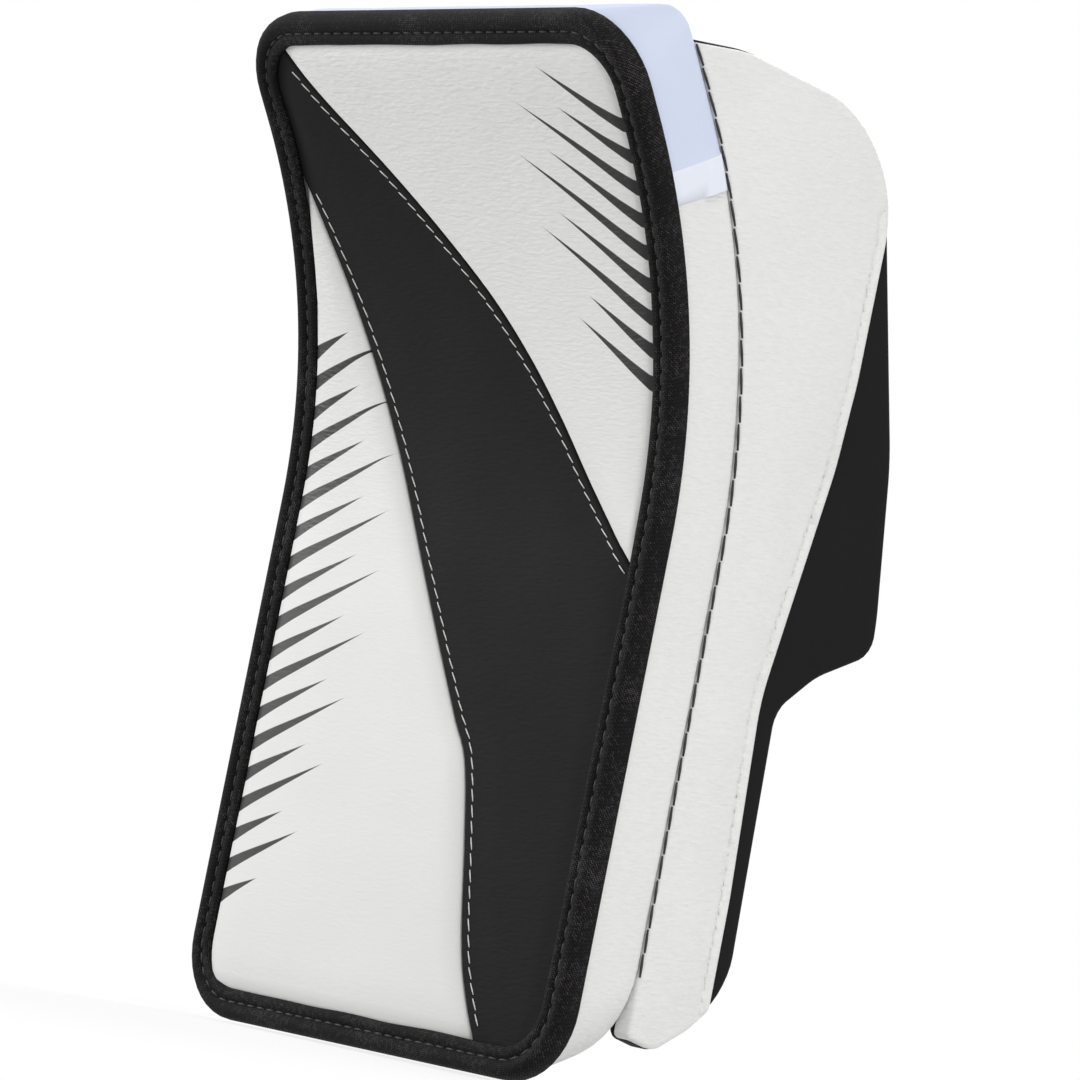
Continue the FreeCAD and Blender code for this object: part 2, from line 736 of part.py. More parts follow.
# A padded shell over part of a tube's wall, facing the struck side or the palm side.
def saddle(name, tube, thickness, half_angle, length, faces_palm):
    body = new_body(name)
    sketch = new_sketch(body, "XY_Plane")
    inner = tube + s.guard_gap
    outer = inner + thickness
    middle = math.pi / 2 if faces_palm else -math.pi / 2
    start = middle - math.radians(half_angle.number)
    finish = middle + math.radians(half_angle.number)
    center = Vector(0, 0, 0)
    start_way = Vector(math.cos(start), math.sin(start), 0)
    finish_way = Vector(math.cos(finish), math.sin(finish), 0)
    inner_arc = add_arc(sketch, center, inner.number, start, finish)
    outer_arc = add_arc(sketch, center, outer.number, start, finish)
    start_line = add_line(sketch, start_way * inner.number, start_way * outer.number)
    finish_line = add_line(sketch, finish_way * inner.number, finish_way * outer.number)
    tie(sketch, "Coincident", inner_arc, 3, -1, 1)
    tie(sketch, "Coincident", outer_arc, 3, -1, 1)
    for line, end in ((start_line, 1), (finish_line, 2)):
        tie(sketch, "Coincident", line, 1, inner_arc, end)
        tie(sketch, "Coincident", line, 2, outer_arc, end)
        tie(sketch, "PointOnObject", -1, 1, line)
    tie(sketch, "Horizontal", start_line, 1, finish_line, 1)
    drive(sketch, "Radius", inner_arc, size=inner)
    drive(sketch, "Radius", outer_arc, size=outer)
    drive_angle(sketch, start_line, finish_line, half_angle * 2)
    pad_up(body, sketch, length, backwards=True)
    rims = []
    for index, edge in enumerate(body.Tip.Shape.Edges, start=1):
        if all(near(math.hypot(corner.X, corner.Y), outer.number) for corner in edge.Vertexes):
            rims.append(f"Edge{index}")
    round_edges(body, rims, thickness * s.guard_round_share)
    return body


finger_y = palm_front - stall_outer
first_x = hand_x + finger_pitch * 1.5
fingers = (
    ("index", s.index_length),
    ("middle", s.middle_length),
    ("ring", s.ring_length),
    ("little", s.little_length),
)
for order, (finger, length) in enumerate(fingers):
    finger_x = first_x - finger_pitch * order
    tube = stall(f"stall_{finger}", s.finger_bore_radius, s.finger_wall, length)
    move(tube, finger_x, finger_y, knuckle)
    keep(tube, f"finger_stall_{finger}")
    guard = saddle(f"guard_{finger}", stall_outer, s.finger_guard_thickness, s.finger_guard_half_angle,
                   length * s.guard_length_share, faces_palm=False)
    move(guard, finger_x, finger_y, knuckle - s.guard_drop)
    keep(guard, f"finger_guard_{finger}")

thumb_y = palm_front - s.thumb_forward
thumb_tube = stall("stall_thumb", s.thumb_bore_radius, s.thumb_wall, s.thumb_length)
move(thumb_tube, thumb_x, thumb_y, thumb_mouth)
keep(thumb_tube, "thumb_stall")
thumb_saddle = saddle("guard_thumb", thumb_outer, s.thumb_guard_thickness, s.thumb_guard_half_angle,
                      s.thumb_length * s.guard_length_share, faces_palm=True)
thumb_saddle.Placement = Placement(Vector(0, 0, 0), Rotation(Vector(0, 0, -1), s.thumb_guard_turn.number))
thumb_saddle.setExpression("Placement.Rotation.Angle", s.thumb_guard_turn.text)
move(thumb_saddle, thumb_x, thumb_y, thumb_mouth - s.guard_drop)
keep(thumb_saddle, "thumb_guard")
collar_sleeve = doc.addObject("Part::Cylinder", "collar_sleeve")
collar_hole = doc.addObject("Part::Cylinder", "collar_hole")
bind(collar_sleeve, Radius=thumb_outer, Height=s.thumb_collar_height)
bind(collar_hole, Radius=s.thumb_bore_radius, Height=s.thumb_collar_height)
for item in (collar_sleeve, collar_hole):
    move(item, thumb_x, thumb_y, collar_bottom)
doc.recompute()
keep(boolean("Part::Cut", "collar_ring", collar_sleeve, collar_hole), "thumb_collar")

print("cuff and wrist strap")
wing_bottom = palm_top + s.wing_gap
wing_top = wing_bottom + s.wing_length
wing_back = palm_front + s.wing_depth
cuff_right = hand_right + s.cuff_slack
board_edge = s.board_width / 2 - core_inset - s.cuff_edge_margin
cuff_left = -lesser(-hand_left + s.cuff_slack + s.wing_thickness, board_edge)


# A padded wall of the cuff, cut to the board's bent back.
def cuff_wing(name, left):
    body = new_body(name)
    sketch = new_sketch(body, "YZ_Plane")
    wing_front = wing_back - s.wing_reach
    closed_polygon(sketch, [
        (wing_front, wing_bottom),
        (wing_back, wing_bottom),
        (wing_back, wing_top),
        (wing_front, wing_top),
    ])
    pad_up(body, sketch, s.wing_thickness)
    names = edges_along(body, Vector(1, 0, 0), lambda center: near(center.y, wing_back.number))
    round_edges(body, names, s.wing_round)
    move(body, x=left)
    return boolean("Part::Cut", name + "_wall", body, board_room)


board_room = bent_layer("board_room", -s.wing_length, pad_front, zero)
keep(cuff_wing("wing_little", cuff_left), "cuff_wing_little")
keep(cuff_wing("wing_thumb", cuff_right), "cuff_wing_thumb")

strap_front = wing_back + s.strap_gap
strap_back = strap_front + s.strap_thickness
strap_bottom = wing_bottom + s.strap_rise
loop_left = cuff_right + s.wing_thickness + s.glue_line
hook_left = loop_left + s.patch_thickness + s.glue_line
wrap_inner = hook_left + s.patch_thickness + s.glue_line
wrap_outer = wrap_inner + s.strap_thickness
wrap_front = strap_back - s.strap_wrap_length


# The strap crosses behind the wrist and turns the corner of the thumb-side wing.
def strap_band():
    body = new_body("strap")
    sketch = new_sketch(body, "XY_Plane")
    closed_polygon(sketch, [
        (cuff_left, strap_front),
        (wrap_inner, strap_front),
        (wrap_inner, wrap_front),
        (wrap_outer, wrap_front),
        (wrap_outer, strap_back),
        (cuff_left, strap_back),
    ])
    pad_up(body, sketch, s.strap_width)
    corners = (
        (wrap_inner, strap_front, s.strap_bend_radius),
        (wrap_outer, strap_back, s.strap_bend_radius + s.strap_thickness),
    )
    for across, deep, radius in corners:
        names = edges_along(body, Vector(0, 0, 1),
                            lambda center: near(center.x, across.number) and near(center.y, deep.number))
        round_edges(body, names, radius)
    move(body, z=strap_bottom)
    return body


keep(strap_band(), "wrist_strap")
patch_height = s.strap_width - s.patch_margin * 2
for label, left in (("loop_patch", loop_left), ("hook_patch", hook_left)):
    patch = plain_box(label, s.patch_thickness, s.patch_length, patch_height)
    move(patch, left, wrap_front + s.patch_margin, strap_bottom + s.patch_margin)
    keep(patch, label)
doc.recompute()

print("checks")
for item in doc.Objects:
    if "Invalid" in item.State or "Error" in item.State:
        raise RuntimeError(f"{item.Label} did not rebuild")
for node in nodes:
    if node.Shape.isNull() or not node.Shape.isValid():
        raise RuntimeError(f"{node.Label} is not a valid solid")

# The shared frame has its origin in the middle of the hand pocket, on the board's middle line.
origin_y = pad_back + pocket_depth / 2
origin_z = palm_bottom + s.palm_length / 2
origin_shift = Placement(Vector(0, -origin_y.number, -origin_z.number), Rotation())
os.makedirs("parts", exist_ok=True)
for node in nodes:
    shape = node.Shape.copy()
    shape.Placement = origin_shift.multiply(shape.Placement)
    shape.exportStep(f"parts/{node.Label}.step")
    print(f"{node.Label}: {len(shape.Solids)} solids, volume {shape.Volume:.0f}")
places = {
    "origin": (zero, origin_y, origin_z),
    "flap hinge": (flap_outer, board_back + s.flap_seam_gap / 2, s.lower_length),
    "strap hinge": (cuff_left, strap_front, strap_bottom),
    "thumb": (thumb_x, thumb_y, thumb_mouth),
    "index finger": (first_x, finger_y, knuckle),
    "hand sides": (hand_left, hand_right, palm_front),
    "cuff": (cuff_left, cuff_right, wing_top),
}
for name, sizes in places.items():
    print(name, [round(size.number, 3) for size in sizes])
print(f"{len(nodes)} sub-parts written")
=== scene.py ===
import bmesh
import bpy
import json
import math
from mathutils import Matrix, Vector, noise
from mathutils.kdtree import KDTree


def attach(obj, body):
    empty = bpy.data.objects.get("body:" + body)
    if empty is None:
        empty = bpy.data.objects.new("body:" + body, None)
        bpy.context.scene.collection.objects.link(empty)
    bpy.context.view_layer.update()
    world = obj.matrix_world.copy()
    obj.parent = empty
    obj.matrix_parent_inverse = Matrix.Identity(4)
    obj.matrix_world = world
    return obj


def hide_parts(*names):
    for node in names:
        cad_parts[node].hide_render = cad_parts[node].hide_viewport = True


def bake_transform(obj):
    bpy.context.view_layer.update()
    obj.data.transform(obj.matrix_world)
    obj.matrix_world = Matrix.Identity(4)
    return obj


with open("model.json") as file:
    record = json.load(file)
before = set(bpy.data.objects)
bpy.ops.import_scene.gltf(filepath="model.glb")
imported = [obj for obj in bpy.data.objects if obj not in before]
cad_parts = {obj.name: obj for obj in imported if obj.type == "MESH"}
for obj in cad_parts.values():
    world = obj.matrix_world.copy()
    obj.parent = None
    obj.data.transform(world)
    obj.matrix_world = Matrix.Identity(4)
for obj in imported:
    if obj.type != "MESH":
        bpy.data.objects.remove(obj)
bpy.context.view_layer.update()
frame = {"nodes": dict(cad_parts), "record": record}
scene = bpy.context.scene
scene.view_settings.view_transform = "Standard"
metres = 0.001  # flat patterns are drawn in millimetres
print("frame loaded:", len(frame["nodes"]), "nodes")


def clamp(value, low=0, high=1):
    return min(max(value, low), high)


def smoothStep(value, low, high):
    share = clamp((value - low) / (high - low))
    return share * share * (3 - 2 * share)


# a soft hump about a middle
def hump(value, middle, width):
    return math.exp(-((value - middle) / width) ** 2)


def ripple(x, y, z):
    return noise.noise(Vector((x, y, z)))


# the turn that sends an axis along a heading
def headed(way, axis="Z", up="X"):
    return way.to_track_quat(axis, up).to_matrix().to_4x4()


def linked(name, data):
    made = bpy.data.objects.new(name, data)
    scene.collection.objects.link(made)
    return made


# camera at the photograph's angle
view = {"place": (1.19044, -1.03578, -0.13885), "aim": (0.0161, -0.02892, -0.01203), "roll": 11.225,
        "lens": 178.75, "sensor": 36, "near": 0.05, "far": 20}
cameraData = bpy.data.cameras.new("camera")
cameraData.lens = view["lens"]
cameraData.sensor_width = view["sensor"]
cameraData.clip_start = view["near"]
cameraData.clip_end = view["far"]
camera = linked("camera", cameraData)
turn = headed(Vector(view["aim"]) - Vector(view["place"]), "-Z", "Y")
camera.matrix_world = Matrix.Translation(view["place"]) @ turn @ Matrix.Rotation(math.radians(view["roll"]), 4, "Z")
scene.camera = camera
print("camera set")


# one socket, with the sums that the finishes need
class Wire:
    def __init__(self, finish, socket):
        self.finish = finish
        self.socket = socket

    def sum(self, operation, first, second=0.0):
        return self.finish.node("ShaderNodeMath", {"operation": operation}, {0: first, 1: second})

    def __add__(self, other):
        return self.sum("ADD", self, other)

    def __radd__(self, other):
        return self.sum("ADD", other, self)

    def __sub__(self, other):
        return self.sum("SUBTRACT", self, other)

    def __rsub__(self, other):
        return self.sum("SUBTRACT", other, self)

    def __mul__(self, other):
        return self.sum("MULTIPLY", self, other)

    def __rmul__(self, other):
        return self.sum("MULTIPLY", other, self)

    def __truediv__(self, other):
        return self.sum("DIVIDE", self, other)

    def __abs__(self):
        return self.sum("ABSOLUTE", self)

    def sine(self):
        return self.sum("SINE", self)

    def whole(self):
        return self.sum("FLOOR", self)

    def rest(self):
        return self.sum("FRACT", self)

    def most(self, other):
        return self.sum("MAXIMUM", self, other)

    def held(self):
        return self.finish.node("ShaderNodeClamp", {}, {"Value": self})


# the node tree of a material or a world, and the one way that nodes are added to it
class Finish:
    def __init__(self, owner):
        self.owner = owner
        owner.use_nodes = True
        self.tree = owner.node_tree

    def node(self, kind, settings, inputs, out=0):
        made = self.tree.nodes.new(kind)
        for name, value in settings.items():
            setattr(made, name, value)
        for name, value in inputs.items():
            self.feed(made.inputs[name], value)
        return Wire(self, made.outputs[out])

    def feed(self, socket, value):
        if isinstance(value, Wire):
            self.tree.links.new(value.socket, socket)
        else:
            socket.default_value = value

    # the bump is (height, strength, distance)
    def surface(self, colour, roughness, bump=None, gloss=0.5):
        inputs = {"Base Color": colour, "Roughness": roughness, "Specular IOR Level": gloss}
        if bump:
            inputs["Normal"] = self.node("ShaderNodeBump", {}, dict(zip(("Height", "Strength", "Distance"), bump)))
        for name, value in inputs.items():
            self.feed(self.tree.nodes["Principled BSDF"].inputs[name], value)
        return self.owner

    # one shader for the rays that look at it, and another for the light that it sends on
    def twofold(self, output, share, lit, seen):
        camera, glossy, through = [self.node("ShaderNodeLightPath", {}, {}, f"Is {kind} Ray")
                                   for kind in ("Camera", "Glossy", "Transmission")]
        shown = camera.most(glossy).most(through) * share
        mixed = self.node("ShaderNodeMixShader", {}, {0: shown, 1: lit, 2: seen})
        self.feed(self.tree.nodes[output].inputs["Surface"], mixed)

    def place(self, out="Object"):
        return self.node("ShaderNodeTexCoord", {}, {}, out)

    def stretched(self, vector, scale, turned=(0, 0, 0)):
        return self.node("ShaderNodeMapping", {}, {"Vector": vector, "Scale": scale, "Rotation": turned})

    def cloud(self, vector, scale, detail=2.0, roughness=0.5):
        return self.node("ShaderNodeTexNoise", {}, {
            "Vector": vector, "Scale": scale, "Detail": detail, "Roughness": roughness}, "Fac")

    def cells(self, vector, scale):
        return self.node("ShaderNodeTexVoronoi", {"feature": "SMOOTH_F1"}, {
            "Vector": vector, "Scale": scale, "Smoothness": 0.6}, "Distance")

    # places in millimetres
    def lengths(self, vector, axes):
        return [self.node("ShaderNodeSeparateXYZ", {}, {"Vector": vector}, axis) * 1000 for axis in axes]

    def blended(self, share, first, second):
        return self.node("ShaderNodeMix", {"data_type": "RGBA"}, {0: share, 6: first, 7: second}, 2)


def material(name):
    return Finish(bpy.data.materials.new(name))


def shade(red, green, blue):
    return (red, green, blue, 1)


print("finishes")
streaks = {
    "left": {"slant": 24, "edge": -76, "short": 26, "swell": 20, "low": 7, "high": 25},
    "right": {"slant": -31, "edge": 77, "short": 24, "swell": 26, "low": 26, "high": 34},
    "pitch": 9.2, "turns": 12, "half": 2.4, "ink": shade(0.017, 0.017, 0.017),
}


# plain tapered streaks that start at the outer edge of a face panel and thin out inwards
def streakMask(finish, look):
    across, along = finish.lengths(finish.place("UV"), "XY")
    rank = (along - across * math.tan(math.radians(look["slant"]))) / streaks["pitch"]
    order = rank.whole()
    off = abs(rank.rest() - 0.5) * streaks["pitch"]
    share = (order - look["low"] + 1) / (look["high"] - look["low"] + 2)
    even = (order * 0.5).rest() * 2
    reach = look["short"] + (share * math.pi).sine() * look["swell"] - even * streaks["turns"]
    half = (1 - abs(across - look["edge"]) / reach).held() * streaks["half"]
    ends = ((order - look["low"]) * 10 + 5).held() * ((look["high"] - order) * 10 + 5).held()
    return ((half - off) * 5).held() * ends


vinylLook = {
    "white": {"colour": shade(0.83, 0.83, 0.815), "deep": shade(0.715, 0.715, 0.70), "rough": 0.5, "gloss": 0.3},
    "black": {"colour": shade(0.0098, 0.0098, 0.0098), "deep": shade(0.0075, 0.0075, 0.0075), "rough": 0.72,
              "gloss": 0.1},
    "grainScale": 900, "creaseStretch": (300, 300, 1150), "creaseTurn": (-0.15, 0, 0), "bump": 0.5, "depth": 0.0004,
    "bend": {"low": -30, "high": 110, "least": 0.2},
}


# coated sheet with a fine pressed grain, finer across than up; a streaked panel's grain grows with height
def vinyl(name, look, relief, streak=None):
    finish = material(name)
    place = finish.place()
    turned = finish.stretched(place, (1, 1, 1), vinylLook["creaseTurn"])
    creases = finish.cloud(finish.stretched(turned, vinylLook["creaseStretch"]), 1.0, 1.5)
    tone = finish.cloud(place, 24)
    pebbles = 1 - finish.cells(place, vinylLook["grainScale"])
    grain = ((creases - 0.5) * 1.8 + 0.5).held() * 0.85 + pebbles * 0.15
    if streak:
        bend = vinylLook["bend"]
        height = finish.lengths(place, "Z")[0]
        relief = ((height - bend["low"]) / (bend["high"] - bend["low"])).held() * relief + bend["least"]
    grain = (grain - 0.5) * relief + 0.5
    ground = finish.blended((tone * 0.45 + (1 - grain) * 0.4 - 0.02).held(), look["colour"], look["deep"])
    rough = look["rough"] + (tone - 0.5) * 0.12
    if streak:
        ink = streakMask(finish, streak)
        ground = finish.blended(ink, ground, streaks["ink"])
        rough = rough - ink * 0.06
    return finish.surface(ground, rough, (grain, vinylLook["bump"], vinylLook["depth"]), look["gloss"])


whiteVinyl = vinyl("whiteVinyl", vinylLook["white"], 1.1)
leftVinyl = vinyl("whiteVinylStreakedLeft", vinylLook["white"], 1.25, streaks["left"])
rightVinyl = vinyl("whiteVinylStreakedRight", vinylLook["white"], 1.25, streaks["right"])
blackVinyl = vinyl("blackVinyl", vinylLook["black"], 0.6)


# crossing threads on a pair of lengths in millimetres
def weaveHeight(along, across, pitch):
    warp, weft = [(way * (2 * math.pi / pitch)).sine() * 0.5 + 0.5 for way in (along, across)]
    checker = (along * (math.pi / pitch)).sine() * (across * (math.pi / pitch)).sine() * 4
    over = (checker + 0.5).held()
    return over * warp + (1 - over) * weft


# the crest colour is a painted glint: light caught on the tape's threads, laid into the colour
tapeLook = {"thread": shade(0.018, 0.016, 0.0165), "gap": shade(0.0025, 0.0022, 0.0022),
            "paintedGlint": shade(0.095, 0.087, 0.089), "pitch": 0.55, "rib": 1.1}


# woven tape, its threads laid along the piece's own map in metres, with a painted glint of light on the high thread
# crests
def wovenTape(name, look):
    finish = material(name)
    along, across = finish.lengths(finish.place("UV"), "XY")
    threads = weaveHeight(along, across, look["pitch"])
    ribs = (along * (2 * math.pi / look["rib"]) + across * 1.2).sine() * 0.5 + 0.5
    height = threads * 0.7 + ribs * 0.3
    fuzz, tone = [finish.cloud(finish.place(), scale) for scale in (900, 60)]
    share = (height * 0.8 + fuzz * 0.2 - 0.3 + (tone - 0.5) * 0.2).held()
    # painted highlight: a lighter colour on the highest threads, standing in for light caught on their crests
    paintedGlint = ((threads - 0.7) * 4).held() * ((fuzz * 0.6 + tone * 0.4 - 0.49) * 6).held()
    ground = finish.blended(share, look["gap"], look["thread"])
    colour = finish.blended(paintedGlint, ground, look["paintedGlint"])
    return finish.surface(colour, 0.82 - height * 0.25, (height, 0.5, 0.0003), 0.1)


blackTape = wovenTape("blackTape", tapeLook)


# plain cloth whose weave is read off the piece's place in space
def wovenCloth(name, thread, gap, pitch, roughness, bump):
    finish = material(name)
    place = finish.place()
    x, y, z = finish.lengths(place, "XYZ")
    height = weaveHeight(x + y * 0.35, z + y * 0.6, pitch)
    tone = finish.cloud(place, 45, 3.0)
    share = (height * 0.8 + (tone - 0.5) * 0.9 + 0.15).held()
    rough = roughness + (tone - 0.5) * 0.15
    return finish.surface(finish.blended(share, gap, thread), rough, (height + tone * 0.6, bump, 0.00025), 0.15)


blackNylon = wovenCloth("blackNylon", shade(0.026, 0.026, 0.028), shade(0.008, 0.008, 0.009), 0.9, 0.66, 0.4)
padCover = wovenCloth("padCover", shade(0.034, 0.034, 0.037), shade(0.01, 0.01, 0.011), 1.5, 0.8, 0.5)
hemNylon = wovenCloth("whiteNylonHem", shade(0.81, 0.84, 0.92), shade(0.795, 0.825, 0.91), 0.5, 0.55, 0.04)
whiteNylon = wovenCloth("whiteNylon", shade(0.66, 0.715, 0.87), shade(0.64, 0.695, 0.855), 0.5, 0.55, 0.04)


def thread(name, colour, deep, roughness):
    finish = material(name)
    twist = finish.cloud(finish.stretched(finish.place(), (900, 900, 2200)), 1.0, 1.0)
    return finish.surface(finish.blended(twist, deep, colour), roughness + twist * 0.1, (twist, 0.4, 0.0002))


whiteThread = thread("whiteThread", shade(0.86, 0.86, 0.84), shade(0.62, 0.62, 0.6), 0.55)
blackThread = thread("blackThread", shade(0.02, 0.019, 0.019), shade(0.008, 0.0075, 0.0075), 0.55)
greyThread = thread("greyThread", shade(0.17, 0.17, 0.17), shade(0.09, 0.09, 0.09), 0.6)


def suede(name, colour, deep):
    finish = material(name)
    place = finish.place()
    nap = finish.cloud(place, 1700, 3.0, 0.65)
    rub = finish.cloud(place, 38, 3.0)
    ground = finish.blended((nap * 0.6 + rub * 0.8 - 0.2).held(), deep, colour)
    return finish.surface(ground, 0.84 + (nap - 0.5) * 0.2, (nap + rub * 0.5, 0.35, 0.0003))


palmLeather = suede("palmLeather", shade(0.075, 0.074, 0.073), shade(0.034, 0.033, 0.033))
pileLook = suede("hookLoopPile", shade(0.035, 0.035, 0.036), shade(0.008, 0.008, 0.008))

# the board: flat patterns are drawn across, along the face and out of it, then bent with it
board = {"width": 170, "length": 305, "straight": 156, "radius": 195.5, "bend": math.radians(34.4), "corner": 23,
         "back": 24.2}
rowOrigin = Vector((0, 45, 165.8))  # the pocket's middle, counted from the board's lower edge


def inRow(x, y, z):
    return (Vector((x, y, z)) - rowOrigin) * metres


def asDrawn(flat):
    return inRow(*flat)


def onBoard(flat):
    over = flat.y - board["straight"]
    turned = clamp(over / board["radius"], 0, board["bend"])
    rest = max(over - board["radius"] * board["bend"], 0)
    reach = board["radius"] - flat.z
    depth = reach * math.cos(turned) - board["radius"] - rest * math.sin(turned)
    up = min(flat.y, board["straight"]) + reach * math.sin(turned) + rest * math.cos(turned)
    return inRow(flat.x, depth, up)


# a plate that stands across the board at a place
def onSide(middle):
    return lambda flat: inRow(middle + flat.z, flat.x, flat.y)


# an upright wall of legs, each with its length and the radius of its turn to the left, or 0 where it runs straight
def onWall(start, heading, legs):
    def place(flat):
        spot, way, left = Vector(start), Vector(heading), flat.x
        for length, radius in legs:
            step = min(left, length)
            left -= step
            if radius:
                out = Vector((way.y, -way.x)) * radius
                turned = Matrix.Rotation(step / radius, 2)
                spot += turned @ out - out
                way = turned @ way
            else:
                spot += way * step
        return inRow(spot.x + way.y * flat.z, spot.y - way.x * flat.z, flat.y)

    return place


# a rounded box as corners of (across, up, radius), counted anticlockwise
def roundedBox(left, low, right, high, lowRadius, highRadius=None):
    highRadius = lowRadius if highRadius is None else highRadius
    return [(left, low, lowRadius), (right, low, lowRadius), (right, high, highRadius), (left, high, highRadius)]


# a closed flat shape from such corners
def drawShape(corners, step, divided=True):
    bm = bmesh.new()
    verts = [bm.verts.new((across, up, 0)) for across, up, _ in corners]
    bm.faces.new(verts)
    count = len(corners)
    for order, (across, up, radius) in enumerate(corners):
        if not radius:
            continue
        here = Vector((across, up))
        before = (Vector(corners[order - 1][:2]) - here).normalized()
        after = (Vector(corners[(order + 1) % count][:2]) - here).normalized()
        tangent = radius / math.tan(before.angle(after) / 2)
        segments = max(2, int((math.pi - before.angle(after)) * radius / step) + 2)
        bmesh.ops.bevel(bm, geom=[verts[order]], offset=tangent, offset_type="OFFSET", segments=segments,
                        profile=0.5, affect="VERTICES", material=-1)
    if divided:
        for edge in list(bm.edges):
            cuts = int(edge.calc_length() / step)
            if cuts:
                bmesh.ops.subdivide_edges(bm, edges=[edge], cuts=cuts)
    bm.normal_update()
    return bm


def outlinePoints(corners, step):
    bm = drawShape(corners, step)
    bm.faces.ensure_lookup_table()
    points = [vert.co.copy() for vert in bm.faces[0].verts]
    bm.free()
    return points


# how far a flat place lies from a drawn line
def nearTree(points, closed=True):
    line = [Vector((point[0], point[1], 0)) for point in points]
    if closed:
        line.append(line[0])
    dense = line[-1:]
    for first, second in zip(line, line[1:]):
        count = int((second - first).length / 0.25) + 1
        dense += [first.lerp(second, k / count) for k in range(count)]
    tree = KDTree(len(dense))
    for order, point in enumerate(dense):
        tree.insert(point, order)
    tree.balance()
    return lambda flat: tree.find(Vector((flat.x, flat.y, 0)))[2]


# cuts everything at a plane, across the way given
def cut(bm, place, way, near, **options):
    bmesh.ops.bisect_plane(bm, geom=bm.verts[:] + bm.edges[:] + bm.faces[:], dist=near, plane_co=place, plane_no=way,
                           **options)


# a padded slab: a drawn shape raised from low to high, its rims rounded by (top, bottom) and cut into a grid
def slab(corners, low, high, rounding, step, gridStep):
    bm = drawShape(corners, step, divided=False)
    bmesh.ops.translate(bm, verts=bm.verts, vec=(0, 0, low))
    raised = bmesh.ops.extrude_face_region(bm, geom=bm.faces[:], use_keep_orig=True)
    top = [item for item in raised["geom"] if isinstance(item, bmesh.types.BMVert)]
    bmesh.ops.translate(bm, verts=top, vec=(0, 0, high - low))
    bmesh.ops.recalc_face_normals(bm, faces=bm.faces)
    for level, amount in ((high, rounding[0]), (low, rounding[1])):
        if amount:
            rim = [edge for edge in bm.edges if all(abs(vert.co.z - level) < 0.001 for vert in edge.verts)]
            bmesh.ops.bevel(bm, geom=rim, offset=amount, offset_type="OFFSET", segments=4, profile=0.5,
                            affect="EDGES", material=-1)
    for way in (Vector((1, 0, 0)), Vector((0, 1, 0))):
        reach = [vert.co.dot(way) for vert in bm.verts]
        first, last = min(reach), max(reach)
        count = int((last - first) / gridStep)
        for order in range(1, count):
            cut(bm, way * (first + (last - first) * order / count), way, 0.02)
    bmesh.ops.remove_doubles(bm, verts=bm.verts, dist=0.01)
    bmesh.ops.recalc_face_normals(bm, faces=bm.faces)
    return bm


# moves the points of a pattern out of its plane, where they lie above a level
def swell(bm, rise, level=-math.inf):
    for vert in bm.verts:
        if vert.co.z > level:
            vert.co.z += rise(vert.co)
    return bm


# a map of a pattern's flat lengths in metres
def layMap(bm, lengths):
    mapLayer = bm.loops.layers.uv.new("flat")
    for face in bm.faces:
        for loop, place in zip(face.loops, lengths(face)):
            loop[mapLayer].uv = (place[0] * metres, place[1] * metres)
    return bm


def ownLengths(face):
    return [loop.vert.co for loop in face.loops]


# a grid of points, placed by their shares across and up
def gridSheet(columns, rows, place):
    bm = bmesh.new()
    bmesh.ops.create_grid(bm, x_segments=columns, y_segments=rows, size=0.5)
    for vert in bm.verts:
        vert.co = place(vert.co.x + 0.5, vert.co.y + 0.5)
    return bm


# grows a strip out of edges, and gives its new points and edges
def grow(bm, edges):
    geom = bmesh.ops.extrude_edge_only(bm, edges=edges)["geom"]
    return [[item for item in geom if isinstance(item, kind)] for kind in (bmesh.types.BMVert, bmesh.types.BMEdge)]


# turns the faces outwards, by the way out at each one's middle
def faceOut(bm, out):
    bmesh.ops.recalc_face_normals(bm, faces=bm.faces)
    bm.normal_update()
    if sum(face.normal.dot(out(face.calc_center_median())) for face in bm.faces) < 0:
        bmesh.ops.reverse_faces(bm, faces=bm.faces)
    return bm


slots = {part["node"]: part["material_slot"] for part in frame["record"]["subparts"]}


# sews a flat pattern into its place as an object, which stands for the node of its name unless others are given;
# its body is one name, which it is attached to, or two names with the places where a bend between them starts and
# ends, in which case it stays unattached where it is, with no bend
def sew(name, bm, place, finish, body="board", nodes=()):
    for vert in bm.verts:
        vert.co = place(vert.co)
    mesh = bpy.data.meshes.new(name)
    bm.to_mesh(mesh)
    bm.free()
    mesh.materials.append(finish)
    mesh.shade_smooth()
    piece = linked(name, mesh)
    if isinstance(body, str):
        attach(piece, body)
    else:
        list(body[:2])
        tuple(body[2])
        tuple(body[3])
        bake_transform(piece)
    node = "".join("_" + letter.lower() if letter.isupper() else letter for letter in name)
    if node in slots:
        nodes = [node]
    if nodes:
        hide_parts(*nodes)
    return piece


# a sewn sheet, given its thickness where its pattern has none; its flat size is not used
def sewSheet(name, bm, place, finish, wall, flat, body="board", held="stretched", nodes=(), slot=None, **more):
    piece = sew(name, bm, place, finish, body, nodes)
    if wall:
        thickness = piece.modifiers.new("wall", "SOLIDIFY")
        thickness.thickness = wall * metres
        thickness.offset = -1
    return piece


# one rounded length of thread, lying along a heading
def threadLump(bm, place, lie, length, width, rounds=6):
    matrix = Matrix.Translation(place) @ lie @ Matrix.Diagonal((width / 2, width / 2, width / 2, 1))
    made = bmesh.ops.create_uvsphere(bm, u_segments=rounds, v_segments=4, radius=1, matrix=matrix)["verts"]
    along = lie.to_3x3() @ Vector((0, 0, 1))
    for vert in made:
        side = (vert.co - place).dot(along)
        if abs(side) > width * 0.05:
            vert.co += along * math.copysign(max(length - width, 0) / 2, side)


fineStitch = (3.6, 2.7, 0.6)  # pitch, length and width
closeStitch = (3.2, 2.4, 0.6)


